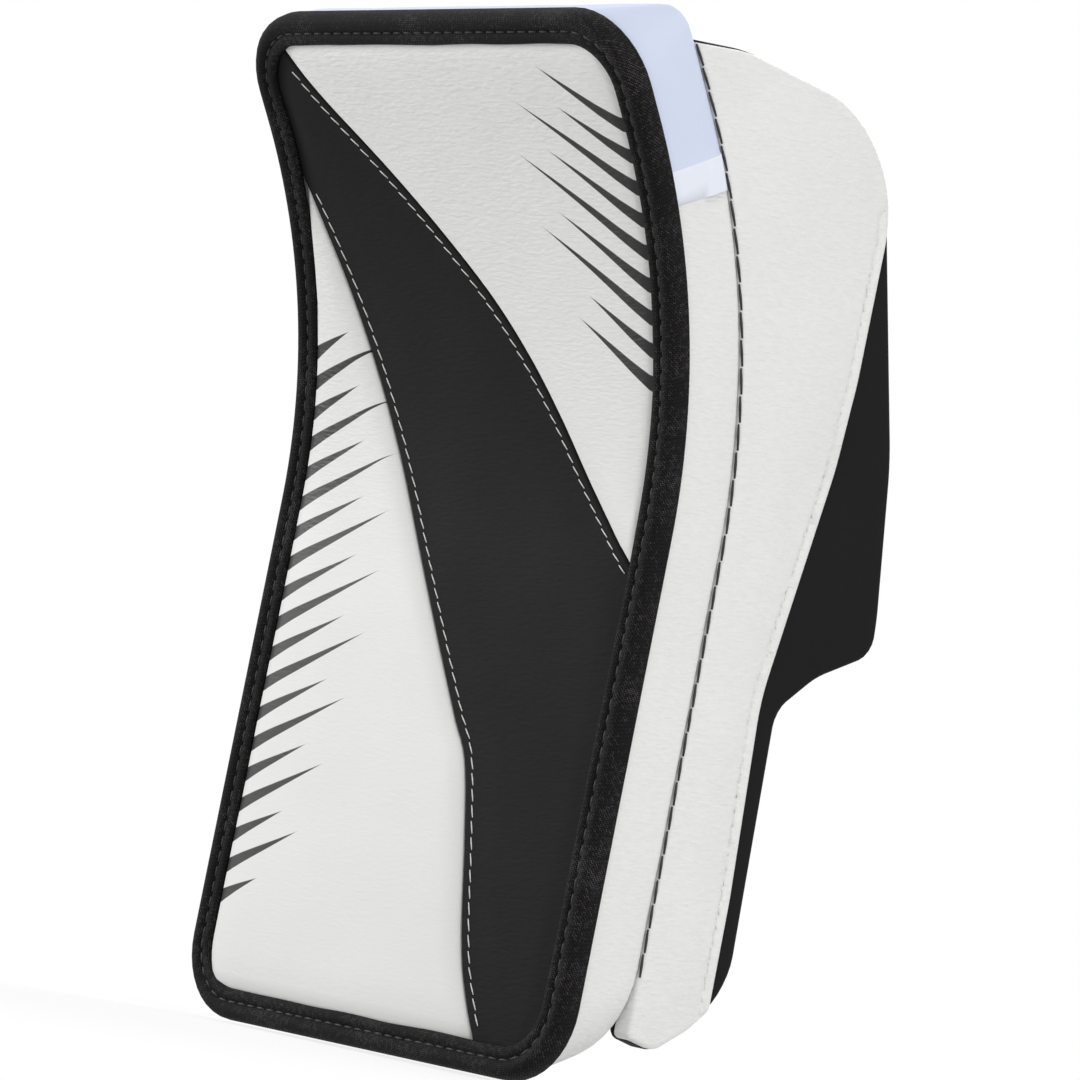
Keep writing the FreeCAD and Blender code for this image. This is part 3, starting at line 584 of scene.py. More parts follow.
# threads along lines of flat points, each line with its stitch and each thread turned a little out of its line
def stitchLines(name, lines, place, finish, body="board", lift=0.1, slant=0.0):
    bm = bmesh.new()
    for points, (pitch, length, width) in lines:
        gone = pitch / 2
        for first, second in zip(points, points[1:]):
            run = second - first
            while gone <= run.length:
                spot = first + run * (gone / run.length) + Vector((0, 0, lift))
                lie = headed(Matrix.Rotation(math.radians(slant), 3, "Z") @ run)
                threadLump(bm, spot, lie, length, width)
                gone += pitch
            gone -= run.length
    return sew(name, bm, place, finish, body)


# a stitched line round a drawn shape
def stitchRound(name, corners, height, stitch, place, finish, step=2.0, lift=0.1):
    line = [Vector((point.x, point.y, height)) for point in outlinePoints(corners, step)]
    return stitchLines(name, [(line + line[:1], stitch)], place, finish, lift=lift)


print("face panels")
seams = {  # across, for heights along the face
    "left": [(-2, 52), (8.8, 47.6), (30.3, 36.9), (63.9, 27.8), (80.8, 23.1), (89.3, 19.6), (97.4, 13.6),
             (131, -8.4), (165.4, -29.8), (200.1, -49.6), (235.4, -67.9), (251.1, -75.2), (268, -83)],
    "right": [(138, 84), (144.6, 77.2), (153.9, 67.2), (170.1, 51), (186.5, 36.7), (203, 22.2), (219.7, 6.2),
              (236.7, -12.2), (254.2, -31.1), (272.3, -50.2), (281.7, -59.1), (291, -66.8), (303, -77)],
}


# a smooth line through the seam's points
def seamAcross(side, height):
    line = seams[side]
    height = clamp(height, line[0][0], line[-1][0])
    order = next(k for k in range(len(line) - 1) if height <= line[k + 1][0])
    (h0, a0), (h1, a1) = line[order], line[order + 1]
    before = line[max(order - 1, 0)]
    after = line[min(order + 2, len(line) - 1)]
    share = (height - h0) / (h1 - h0)
    slope0 = (a1 - before[1]) / (h1 - before[0]) * (h1 - h0)
    slope1 = (after[1] - a0) / (after[0] - h0) * (h1 - h0)
    square, cube = share ** 2, share ** 3
    return ((2 * cube - 3 * square + 1) * a0 + (cube - 2 * square + share) * slope0
            + (3 * square - 2 * cube) * a1 + (cube - square) * slope1)


def seamTree(side):
    low, high = seams[side][0][0], seams[side][-1][0]
    count = int(high - low)
    heights = [low + (high - low) * order / count for order in range(count + 1)]
    return nearTree([(seamAcross(side, height), height) for height in heights], closed=False)


seamGaps = {side: seamTree(side) for side in seams}
panelLook = {
    "inset": 3.2, "corner": 19.8, "rowStep": 2.6, "middle": 22, "wall": 0.6, "lip": 1.1, "slope": 8,
    "edgeSteps": (0.0, 0.35, 0.8, 1.4, 2.1, 2.9, 3.9, 5.2, 7.0, 9.5),
    "whiteCrown": 2.1, "whiteDip": -0.9, "blackLift": 0.35, "blackDip": -0.8,
}


def faceHalf(height):
    half = board["width"] / 2 - panelLook["inset"]
    radius = panelLook["corner"]
    near = min(height - panelLook["inset"], board["length"] - panelLook["inset"] - height)
    if near < radius:
        half -= radius - math.sqrt(max(radius ** 2 - (radius - near) ** 2, 0))
    return half


def seamRoll(seamGap):
    return math.sqrt(1 - (1 - clamp(seamGap / panelLook["lip"])) ** 2)


# the white panels swell from a rolled lip at the seam, and dip under the binding
def whiteRise(seamGap, edgeGap, flat):
    slope = min(seamGap / panelLook["slope"], 1)
    share = 0.36 * seamRoll(seamGap) + 0.64 * slope * (2 - slope)
    rise = panelLook["whiteDip"] + (panelLook["whiteCrown"] - panelLook["whiteDip"]) * share
    rise -= 0.7 * (1 - smoothStep(edgeGap, 5, 16)) + 1.9 * (1 - smoothStep(edgeGap, 4.4, 7.6))
    return rise + ripple(flat.x / 46, flat.y / 30, 3.1) * 0.3 * smoothStep(seamGap, 2, 14)


def blackRise(seamGap, edgeGap, flat):
    rise = panelLook["blackDip"] + (panelLook["blackLift"] - panelLook["blackDip"]) * seamRoll(seamGap)
    return rise + 0.5 * smoothStep(seamGap, 2, 16) - 0.5 * (1 - smoothStep(edgeGap, 5, 14))


facePanels = {  # rows from and to, and the seam on either side
    "facePanelLeft": {"finish": leftVinyl, "rise": whiteRise, "rows": (3.3, 266), "seams": (None, "left")},
    "facePanelCenter": {"finish": blackVinyl, "rise": blackRise, "rows": (3.3, 301.6), "seams": ("left", "right")},
    "facePanelRight": {"finish": rightVinyl, "rise": whiteRise, "rows": (139.5, 301.6), "seams": ("right", None)},
}


def panelEdges(look, height):
    right = faceHalf(height)
    left = -right
    first, second = look["seams"]
    if first and height < seams[first][-1][0]:
        left = max(left, seamAcross(first, height))
    if second and height > seams[second][0][0]:
        right = min(right, seamAcross(second, height))
    return left, max(right, left + 0.6)


for name, look in facePanels.items():
    steps = panelLook["edgeSteps"]
    columns = 2 * len(steps) + panelLook["middle"] - 1
    low, high = look["rows"]

    def onPanel(share, up):
        height = low + (high - low) * up
        left, right = panelEdges(look, height)
        squeeze = min(1, (right - left) / (3 * steps[-1]))
        order = round(share * columns)
        if order < len(steps):
            across = left + steps[order] * squeeze
        elif order > columns - len(steps):
            across = right - steps[columns - order] * squeeze
        else:
            inner = right - left - 2 * steps[-1] * squeeze
            across = left + steps[-1] * squeeze + inner * (order - len(steps) + 1) / (panelLook["middle"] + 1)
        flat = Vector((across, height, 0))
        seamGap = min(seamGaps[side](flat) for side in look["seams"] if side)
        edgeGap = min(faceHalf(height) - abs(across), height - 3, board["length"] - 3 - height)
        return Vector((across, height, look["rise"](seamGap, edgeGap, flat)))

    bm = layMap(gridSheet(columns, int((high - low) / panelLook["rowStep"]), onPanel), ownLengths)
    area = sum(face.calc_area() for face in bm.faces) * metres ** 2
    wide = max(vert.co.x for vert in bm.verts) - min(vert.co.x for vert in bm.verts)
    sewSheet(name, bm, onBoard, look["finish"], panelLook["wall"], (wide * metres, (high - low) * metres), area=area,
             rests_on=["impact_foam"])

topStitch = {  # from, to, inset and side of each row
    "left": (11, 249, 3.7, 1), "right": (146, 291, 2.5, -1), "stitch": (4.7, 3.8, 0.4), "lift": 0.12, "slant": 7,
}
rows = []
for side in seams:
    low, high, inset, way = topStitch[side]
    line = []
    for height in range(low, high + 1):
        here, ahead = [Vector((seamAcross(side, level), level)) for level in (height, height + 0.5)]
        run = (ahead - here).normalized()
        place = here + Vector((run.y, -run.x)) * way * inset
        line.append(Vector((place.x, place.y, panelLook["blackLift"])))
    rows.append((line, topStitch["stitch"]))
stitchLines("faceTopStitch", rows, onBoard, whiteThread, lift=topStitch["lift"], slant=topStitch["slant"])

print("binding and side walls")
# the board's back is shorter than its face, with other corners
rear = {"low": 8, "lowRadius": 30, "high": 299.3, "highRadius": 8, "half": 84.7, "kept": (75, 235), "from": 3.5}


def deepShare(depth):
    return clamp((depth - rear["from"]) / (board["back"] - rear["from"]))


# the board's outline at a depth, drawn inside its edge
def innerShape(depth, inset):
    def between(first, second):
        return first + (second - first) * deepShare(depth)

    half = between(board["width"] / 2, rear["half"]) - inset
    low = between(0, rear["low"]) + inset
    high = between(board["length"], rear["high"]) - inset
    lowRadius, highRadius = [between(board["corner"], rear[end]) - inset for end in ("lowRadius", "highRadius")]
    return roundedBox(-half, low, half, high, lowRadius, highRadius)


# the point inside the corners that a point of the board's edge lies out from
def innerOf(flat):
    corner = board["corner"]
    half = board["width"] / 2 - corner
    return Vector((clamp(flat.x, -half, half), clamp(flat.y, corner, board["length"] - corner)))


def outOfEdge(flat):
    return (Vector((flat.x, flat.y)) - innerOf(flat)).normalized()


# moves a point of the board's edge to where it lies at its depth
def drawnIn(flat):
    corner = board["corner"]
    inner = innerOf(flat)
    out = Vector((flat.x, flat.y)) - inner
    if flat.y < board["length"] / 2:
        radius, start, stay = rear["lowRadius"], corner, rear["kept"][0]
        end = rear["low"] + radius
    else:
        radius, start, stay = rear["highRadius"], board["length"] - corner, rear["kept"][1]
        end = rear["high"] - radius
    share = clamp((inner.y - stay) / (start - stay))
    across = inner.x * (rear["half"] - radius) / (board["width"] / 2 - corner)
    place = Vector((across, inner.y + (end - start) * share)) + out.normalized() * (out.length + radius - corner)
    deep = deepShare(-flat.z)
    return Vector((flat.x + (place.x - flat.x) * deep, flat.y + (place.y - flat.y) * deep, flat.z))


# sweeps a profile of (inset, out) round the board's edge, with a map of lengths along and across it
def sweepEdge(profile, step):
    bm = drawShape(innerShape(0, profile[0][0]), step)
    alongLayer = bm.verts.layers.float.new("along")
    acrossLayer = bm.verts.layers.float.new("across")
    bm.faces.ensure_lookup_table()
    ring = list(bm.faces[0].verts)
    around = 0.0
    for order, vert in enumerate(ring):
        vert[alongLayer] = around
        around += (ring[(order + 1) % len(ring)].co - vert.co).length
    bmesh.ops.delete(bm, geom=bm.faces[:], context="FACES_ONLY")
    bmesh.ops.translate(bm, verts=bm.verts, vec=(0, 0, profile[0][1]))
    edges = bm.edges[:]
    across = 0.0
    for before, after in zip(profile, profile[1:]):
        verts, edges = grow(bm, edges)
        across += math.hypot(after[0] - before[0], after[1] - before[1])
        for vert in verts:
            way = outOfEdge(vert.co)
            uneven = 0.045 * ripple(vert.co.x / 21, vert.co.y / 21, 8.8) if before[0] > 4.5 else 0.0
            shift = before[0] - after[0] - uneven
            vert.co += Vector((way.x * shift, way.y * shift, after[1] - before[1]))
            vert[acrossLayer] = across

    def lengths(face):
        alongs = [loop.vert[alongLayer] for loop in face.loops]
        if max(alongs) - min(alongs) > around / 2:
            alongs = [along + around if along < around / 2 else along for along in alongs]
        return zip(alongs, [loop.vert[acrossLayer] for loop in face.loops])

    return faceOut(layMap(bm, lengths), lambda spot: Vector((*outOfEdge(spot), 0.7)))


binding = {
    "profile": [(0.9, -4.9), (0.35, -4.7), (0.1, -4.1), (-0.05, -2.6), (-0.05, -1.0), (0.15, 0.3), (0.6, 1.3),
                (1.3, 2.0), (2.2, 2.4), (3.2, 2.45), (4.1, 2.2), (4.7, 1.75), (5.1, 1.25), (5.45, 1.2),
                (5.8, 1.5), (6.4, 1.95), (7.3, 2.1), (8.2, 1.95), (8.8, 1.5), (9.1, 0.9), (9.1, 0.1)],
    "step": 4.0, "wall": 0.7, "stitchIn": 5.28, "stitchOut": 1.3, "stitch": (4.6, 3.3, 0.8),
}
bm = sweepEdge(binding["profile"], binding["step"])
sewSheet("faceBinding", bm, onBoard, blackTape, binding["wall"], (0.0185, 0.9), held="folded",
         rests_on=["impact_foam"])
stitchRound("bindingStitch", innerShape(0, binding["stitchIn"]), binding["stitchOut"], binding["stitch"], onBoard,
            blackThread, 3.0, 0)

sideWall = {
    "profile": [(2.6, -2.0), (1.9, -3.6), (1.45, -5.2), (1.05, -7.5), (0.8, -10.5), (0.65, -14), (0.55, -17.5),
                (0.5, -20.5), (0.55, -22.6), (0.75, -23.7), (1.3, -24.3), (2.4, -24.6), (7.0, -24.6)],
    "step": 4.0, "wall": 0.8, "cut": 0.029, "seam": 247.5, "hem": (256.8, 257.5), "hemLift": 0.45,
    "lengths": {"sideGusset": 0.63, "topGusset": 0.26},
}
for name, length in sideWall["lengths"].items():
    above = name == "topGusset"
    bm = sweepEdge(sideWall["profile"], sideWall["step"])
    for vert in bm.verts:
        vert.co = drawnIn(vert.co)
    cut(bm, (0, sideWall["seam"], 0), (0, 1, 0), 0.001, clear_inner=above, clear_outer=not above)
    if above:
        for level in sideWall["hem"]:
            cut(bm, (0, level, 0), (0, 1, 0), 0.001)
    for vert in bm.verts:
        x, y, z = vert.co
        if above:
            hemLift = sideWall["hemLift"] * (1 - smoothStep(y, *sideWall["hem"]))
            out = hemLift + 0.15 + 0.35 * ripple(x / 30, y / 18, z / 9)
        else:
            out = 0.3 * ripple(x / 40, y / 26, z / 10)
        vert.co += outOfEdge(vert.co).to_3d() * out
    for face in bm.faces:
        face.material_index = int(above and face.calc_center_median().y < sideWall["hem"][0])
    piece = sewSheet(name, bm, onBoard, whiteNylon if above else whiteVinyl, sideWall["wall"],
                     (sideWall["cut"], length), rests_on=["impact_foam", "backing_foam"])
    if above:
        piece.data.materials.append(hemNylon)

print("side flap")
flapShape = {
    "face": 84.0, "low": 17, "top": 294, "front": 25.5, "lip": 0.9, "step": 4.0,
    "rear": [(36, 15.5, 6), (47.2, 22.8, 15), (61.0, 36.8, 22), (58.8, 117, 10), (72, 129.2, 25), (92, 139.5, 8),
             (91.5, 150, 60), (84.8, 195, 90), (57.2, 288.6, 36)],
    "rearOut": [(0, -1), (0.6, -0.8), (1, -0.6), (1, -0.5), (0.6, -0.8), (1, -0.6), (1, 0), (1, 0.2), (0.75, 1)],
    "border": [(35.8, 15.8, 6), (47, 23.2, 15), (53.9, 29.8, 4), (53.7, 62, 90), (50.8, 119, 60), (62.3, 188, 90),
               (64.3, 214, 60), (64.8, 258, 40)],
}
onFlap = onSide(flapShape["face"])
flapBend = ("board", "side_flap", (0.035, -0.0195, 0), (0.035, 0.004, 0))


# the flap's front edge runs behind the board's back, straight and then round its bend
def flapFront(inset, low, top, radius):
    front = flapShape["front"] + inset
    line = [(front, low, radius), (front, board["straight"], 0)]
    reach = board["radius"] + front
    for order in range(1, 9):
        turned = board["bend"] * order / 8
        line.append((reach * math.cos(turned) - board["radius"], board["straight"] + reach * math.sin(turned), 0))
    across, up, _ = line[-1]
    line.append((across - (top - up) * math.tan(board["bend"]), top, 0))
    return line[::-1]


def flapOutline(grown):
    top = flapShape["top"] + flapShape["lip"] + grown
    front = flapFront(-grown, flapShape["low"] + 0.6 - grown, top - 2, 3)
    back = [(across + grown * outX, up + grown * outY, radius)
            for (across, up, radius), (outX, outY) in zip(flapShape["rear"], flapShape["rearOut"])]
    return back + [(-1, top + 0.3, 40)] + front


flapShell = {"low": -9.7, "high": -1.2, "rounding": (1.6, 2.2), "grid": 4.5, "lining": (-11.0, -9.4), "inset": 3.5}
shellGap = nearTree(outlinePoints(flapOutline(0), 2.0))


def hollow(flat):
    return 0.35 * ripple(flat.x / 22, flat.y / 30, 1.7)


def shellRise(flat):
    crown = smoothStep(shellGap(flat), 0, 14)
    if flat.z < -7.5:
        return -crown * (0.5 + hollow(flat))
    return 0.25 * crown * ripple(flat.x / 26, flat.y / 40, 5.2) if flat.z > -3 else 0


def liningRise(flat):
    return -smoothStep(shellGap(flat), 3, 16) * (0.7 + hollow(flat)) if flat.z < -10.4 else 0


bm = slab(flapOutline(0), flapShell["low"], flapShell["high"], flapShell["rounding"], flapShape["step"],
          flapShell["grid"])
shell = sew("flapShell", swell(bm, shellRise), onFlap, blackVinyl, flapBend,
            ["flap_edge_panel", "flap_edge_band", "flap_foam", "flap_plate"])
bm = slab(flapOutline(-flapShell["inset"]), *flapShell["lining"], (0, 0.5), flapShape["step"], flapShell["grid"])
sewSheet("flapLining", swell(bm, liningRise), onFlap, blackNylon, 0, (0.1, 0.27), flapBend, area=0.012,
         rests_on=[shell])

flapCover = {"low": -6.5, "high": 0.5, "rounding": (1.5, 0.8), "grid": 3.2, "grow": 0.5, "crown": 1.5, "hem": 3.6,
             "stitch": (4.3, 3.2, 0.7)}
across, up, radius = flapShape["rear"][-1]
coverShape = flapShape["border"] + [
    (across + flapCover["grow"], up + flapCover["grow"], radius), (-1, flapShape["top"] + 0.6, 40),
] + flapFront(-flapCover["grow"], flapShape["low"] + 0.95, flapShape["top"] - 2, 1.6)
coverLine = outlinePoints(coverShape, 1.5)
borderLine = sorted((p for p in coverLine if p.x > 48 and 30 < p.y < 262), key=lambda p: p.y)
coverGap = nearTree(coverLine)
borderGap = nearTree(borderLine, closed=False)


# a soft crown with a pitted groove along the hem and one slack crease at the top
def coverRise(flat):
    gap = coverGap(flat)
    rise = flapCover["crown"] * smoothStep(gap, 1.5, 22)
    pit = max(math.cos(flat.y * 2 * math.pi / flapCover["stitch"][0]), 0) ** 2
    rise -= (0.75 + 0.6 * pit) * hump(borderGap(flat), flapCover["hem"], 0.9)
    crease = hump(flat.x, 9 - (flat.y - 262) * 0.62, 5.5) * smoothStep(flat.y, 225, 262)
    rise -= 0.8 * crease * smoothStep(gap, 3, 12)
    slack = ripple(flat.x / 20, flat.y / 34, 0.4) * 0.5 + ripple(flat.x / 9, flat.y / 15, 7.7) * 0.14
    return rise + slack * smoothStep(gap, 3, 16)


bm = slab(coverShape, flapCover["low"], flapCover["high"], flapCover["rounding"], 3.0, flapCover["grid"])
coverFace = flapCover["high"] - 0.05
near = {vert for vert in bm.verts if vert.co.z > coverFace and borderGap(vert.co) < 8}
bmesh.ops.subdivide_edges(bm, edges=[edge for edge in bm.edges if near.issuperset(edge.verts)], cuts=3,
                          use_grid_fill=True)
swell(bm, coverRise, coverFace)
sew("flapCover", bm, onFlap, whiteVinyl, flapBend, ["flap_front_panel"])

line = []
for first, second in zip(borderLine, borderLine[1:]):
    run = (second - first).normalized()
    place = first + Vector((-run.y, run.x, 0)) * flapCover["hem"]
    line.append(Vector((place.x, place.y, flapCover["high"] + coverRise(place))))
stitchLines("flapHemStitch", [(line, flapCover["stitch"])], onFlap, whiteThread, flapBend, 0.12)

lacing = {"across": 84.1, "depth": 24.9, "low": 38.5, "high": 288, "pitch": 7.0, "length": 6.7, "width": 0.8,
          "tilt": 4, "rounds": 8}
bm = bmesh.new()
lie = Matrix.Rotation(math.radians(lacing["tilt"] - 90), 4, "X")
height = lacing["low"]
while height < lacing["high"]:
    place = Vector((lacing["across"], height, -lacing["depth"]))
    threadLump(bm, place, lie, lacing["length"], lacing["width"], lacing["rounds"])
    height += lacing["pitch"]
sew("flapLacing", bm, onBoard, blackThread)

print("board back")


# seen from behind: across, along the board, and out of its back
def onBack(flat):
    return onBoard(Vector((-flat.x, flat.y, -board["back"] - flat.z)))


def evaluated(made):
    return bpy.data.meshes.new_from_object(made.evaluated_get(bpy.context.evaluated_depsgraph_get()))


# swells a flat pad by a short cloth run with air pressure, its sewn points held
def puffed(bm, look, held):
    bmesh.ops.scale(bm, verts=bm.verts, vec=(metres, metres, metres))
    mesh = bpy.data.meshes.new("pad")
    bm.to_mesh(mesh)
    bm.free()
    pad = linked("pad", mesh)
    even = pad.modifiers.new("even", "REMESH")
    even.mode = "VOXEL"
    even.voxel_size = look["voxel"] * metres
    pad.data = evaluated(pad)
    pad.modifiers.clear()
    before = [vert.co.copy() for vert in pad.data.vertices]
    group = pad.vertex_groups.new(name="sewn")
    group.add([k for k, place in enumerate(before) if held(place / metres)], 1.0, "REPLACE")
    settings = pad.modifiers.new("cloth", "CLOTH").settings
    settings.vertex_group_mass = "sewn"
    settings.use_pressure = True
    settings.uniform_pressure_force = look["pressure"]
    settings.effector_weights.gravity = 0
    for step in range(1, 21):
        scene.frame_set(step)
    swollen = evaluated(pad)
    scene.frame_set(1)
    for vert, place in zip(swollen.vertices, before):
        move = vert.co - place
        if move.length > look["cap"] * metres:
            vert.co = place + move * (look["cap"] * metres / move.length)
    bm = bmesh.new()
    bm.from_mesh(swollen)
    bpy.data.objects.remove(pad)
    bmesh.ops.scale(bm, verts=bm.verts, vec=(1 / metres, 1 / metres, 1 / metres))
    bmesh.ops.smooth_vert(bm, verts=bm.verts, factor=0.5, use_axis_x=True, use_axis_y=True, use_axis_z=True)
    return bm


# smooths a stuffed piece
def padded(piece):
    soft = piece.modifiers.new("soft", "SUBSURF")
    soft.levels = 1
    soft.render_levels = 1


backPanel = {"inset": 3.6, "low": -1.3, "high": 0.1, "ripple": 0.3, "stitchIn": 8.5, "stitchOut": 0.25}
bm = slab(innerShape(board["back"], backPanel["inset"]), backPanel["low"], backPanel["high"], (0.5, 0), 4, 6)
swell(bm, lambda flat: backPanel["ripple"] * ripple(flat.x / 24, flat.y / 32, 2.2), backPanel["high"] - 0.05)
sewSheet("backPanel", bm, onBack, blackNylon, 0, (0.1622, 0.2838), rests_on=["backing_foam"])
stitchRound("backPanelStitch", innerShape(board["back"], backPanel["stitchIn"]), backPanel["stitchOut"], fineStitch,
            onBack, greyThread)

handPad = {"box": (-38, 108, 44, 235.5), "corner": 16, "thick": 4.4, "voxel": 2.6, "pressure": 3, "cap": 2.6,
           "channels": (150.5, 193), "depth": 2.4, "width": 2.6, "crown": 1.6, "least": 1.4}
padShape = roundedBox(*handPad["box"], handPad["corner"])
padGap = nearTree(outlinePoints(padShape, 2.0))


def padRise(flat):
    crown = handPad["crown"] * smoothStep(padGap(flat), 1, 16)
    pinch = sum(hump(flat.y, channel, handPad["width"]) for channel in handPad["channels"])
    return crown - min(pinch * handPad["depth"], flat.z + crown - handPad["least"])


bm = puffed(slab(padShape, 0.3, handPad["thick"], (2.2, 0.4), 3, 3.4), handPad, lambda flat: flat.z < 1.2)
padded(sew("handBackPad", swell(bm, padRise, 1.5), onBack, padCover))

print("palm and sides")
palm = {
    "thumbSide": 43, "littleSide": -49, "root": 24.4, "out": 60.6, "corner": 10, "low": 125.6, "high": 206,
    "thumbHigh": 187.5, "bulge": 1.0, "wall": 1.4, "lap": 4, "rows": 32, "column": 1.8, "sunk": 1.3,
    "stitch": (3.6, 2.7, 0.65), "stitchIn": 1.6, "hemIn": 3.2, "lift": 0.12,
}
palmRun = palm["out"] - palm["corner"] - palm["root"]
palmArc = palm["corner"] * math.pi / 2
palmFlat = palm["thumbSide"] - palm["littleSide"] - 2 * palm["corner"]
palmWay = 2 * palmRun + 2 * palmArc + palmFlat
# round the hand's pocket from the thumb side over the palm to the little finger's side
onPalm = onWall((palm["thumbSide"], palm["root"]), (0, 1), [
    (palmRun, 0), (palmArc, palm["corner"]), (palmFlat, 0), (palmArc, palm["corner"]), (math.inf, 0)])


def palmTop(gone):
    rise = smoothStep(gone, palmRun - 4, palmRun + palmArc + 8)
    return palm["thumbHigh"] + (palm["high"] - palm["thumbHigh"]) * rise


# a bulging palm with two creases and turned hems
def palmRise(gone, height):
    off = gone - palmWay / 2
    middle = smoothStep(gone, palmRun, palmWay / 2 - 10) * (1 - smoothStep(gone, palmWay / 2 + 10, palmWay - palmRun))
    crease = hump(height, 171 - off * 0.25, 2.6) + 0.8 * hump(height, 146 + off * 0.1, 2.2)
    rise = palm["bulge"] * middle - 0.7 * crease * middle + 0.35 * ripple(gone / 17, height / 21, 4.4)
    hem = min(height - palm["low"], palmTop(gone) - height)
    return rise + 0.55 * (1 - smoothStep(hem, 3.6, 5.0))


def palmPoint(gone, height, sunk=0):
    return Vector((gone, height, palmRise(gone, height) - sunk))


palmEnds = (palmRun - palm["lap"], palmWay - palmRun + palm["lap"])
palmPieces = {
    "handSideThumb": {"from": 0, "to": palmRun + palm["lap"] - 1, "sunk": palm["sunk"], "finish": blackNylon,
                      "flat": (0.0292, 0.0619)},
    "palmPanel": {"from": palmEnds[0], "to": palmEnds[1], "sunk": 0, "finish": palmLeather,
                  "flat": (0.1114, 0.0804)},
    "handSideLittle": {"from": palmWay - palmRun - palm["lap"] + 1, "to": palmWay, "sunk": palm["sunk"],
                       "finish": blackNylon, "flat": (0.0292, 0.0804)},
}
for name, look in palmPieces.items():
    span = look["to"] - look["from"]

    def inPalm(share, up):
        gone = look["from"] + span * share
        return palmPoint(gone, palm["low"] + (palmTop(gone) - palm["low"]) * up, look["sunk"])

    bm = gridSheet(int(span / palm["column"]), palm["rows"], inPalm)
    sewSheet(name, bm, onPalm, look["finish"], palm["wall"], look["flat"])

lines = []
for gone in (palmEnds[0] + palm["stitchIn"], palmEnds[1] - palm["stitchIn"]):
    low = palm["low"] + 2
    lines.append([palmPoint(gone, low + k) for k in range(int(palmTop(gone) - low - 2))])
for upper in (True, False):
    line = []
    for gone in range(1, int(palmWay) - 1):
        height = palmTop(gone) - palm["hemIn"] if upper else palm["low"] + palm["hemIn"]
        line.append(palmPoint(gone, height, 0 if palmEnds[0] < gone < palmEnds[1] else palm["sunk"]))
    lines.append(line)
stitchLines("palmStitch", [(line, palm["stitch"]) for line in lines], onPalm, greyThread, lift=palm["lift"])

patch = {"half": 32, "low": 139.6, "high": 192, "corner": 11, "stitchIn": 2.6, "stitchOut": 0.95, "stitchCorner": 8.6}


def onPatch(flat):
    gone = palmWay / 2 + flat.x
    return onPalm(Vector((gone, flat.y, flat.z + palmRise(gone, flat.y))))


def patchShape(inset, corner):
    half = patch["half"] - inset
    return roundedBox(-half, patch["low"] + inset, half, patch["high"] - inset, corner)


patchEdge = patchShape(0, patch["corner"])
patchGap = nearTree(outlinePoints(patchEdge, 2.0))


def patchRise(flat):
    gap = patchGap(flat)
    return 0.5 * smoothStep(gap, 2, 12) - 0.35 * hump(gap, patch["stitchIn"], 0.8)


bm = swell(slab(patchEdge, -0.6, 1.1, (0.6, 0), 3, 2.2), patchRise, 1.0)
sewSheet("palmPatch", bm, onPatch, palmLeather, 0, (0.064, 0.0524), rests_on=["palm_panel"])
stitchRound("palmPatchStitch", patchShape(patch["stitchIn"], patch["stitchCorner"]), patch["stitchOut"], fineStitch,
            onPatch, greyThread)

print("fingers and thumb")
stalls = {"y": 49.6, "mouth": 125, "tuck": 131.5, "radius": 9.5, "wall": 1.3, "segments": 28, "ring": 1.7,
          "creases": (0.34, 0.62), "flexY": 59.3, "flex": (131, 116), "seamOut": 0.1, "seam": (3.4, 2.5, 0.62)}
fingers = {
    "Index": {"body": "finger_index", "x": 28.8, "length": 63},
    "Middle": {"body": "finger_middle", "x": 7.6, "length": 69},
    "Ring": {"body": "finger_ring", "x": -13.6, "length": 64},
    "Little": {"body": "finger_little", "x": -34.8, "length": 53},
}


# a soft tube sewn ring by ring downwards and closed over its tip, with creases on the palm side
def stall(name, x, y, top, tip, radius, creases, segments, flex, nodes=()):
    rings = []
    height = top
    while height > tip + radius:
        rings.append((height, radius))
        height -= stalls["ring"]
    for order in range(9):
        turned = math.pi / 2 * order / 9
        rings.append((tip + radius - radius * math.sin(turned), radius * math.cos(turned)))
    bm = bmesh.new()
    bmesh.ops.create_circle(bm, segments=segments, radius=radius, matrix=Matrix.Translation((x, y, top)))
    edges = bm.edges[:]
    for height, wide in rings[1:]:
        ring, edges = grow(bm, edges)
        for vert in ring:
            way = Vector((vert.co.x - x, vert.co.y - y)).normalized()
            vert.co = Vector((x + way.x * wide, y + way.y * wide, height))
    bmesh.ops.pointmerge(bm, verts=ring, merge_co=(x, y, tip))
    for vert in bm.verts:
        out = Vector((vert.co.x - x, vert.co.y - y))
        if out.length < 0.01:
            continue
        way = out.normalized()
        pinch = sum(hump(vert.co.z, crease, 1.5) for crease in creases)
        uneven = 0.25 * ripple(vert.co.x / 7, vert.co.y / 7, vert.co.z / 11)
        vert.co += (way * (uneven - 1.1 * max(way.y, 0) * pinch)).to_3d()
    faceOut(bm, lambda spot: spot - Vector((x, y, spot.z)))
    flat = (2 * math.pi * radius * metres, (top - tip) * metres)
    sewSheet(name, bm, asDrawn, palmLeather, stalls["wall"], flat, flex, nodes=nodes)


# two rows of stitches down the sides of a stall and round its tip
def sideSeams(name, x, y, top, tip, radius, flex):
    pitch, length, width = stalls["seam"]
    bm = bmesh.new()
    for way in (-1, 1):
        reach = radius + stalls["seamOut"]
        line = [Vector((x + way * reach, y, top - k)) for k in range(int(top - tip - radius))]
        for k in range(1, 12):
            turned = math.pi / 2 * k / 12
            line.append(Vector((x + way * reach * math.cos(turned), y, tip + radius - reach * math.sin(turned))))
        gone = 0.0
        for first, second in zip(line, line[1:]):
            gone += (second - first).length
            if gone >= pitch:
                gone = 0.0
                threadLump(bm, second, headed(second - first), length, width)
    sew(name, bm, asDrawn, greyThread, flex)


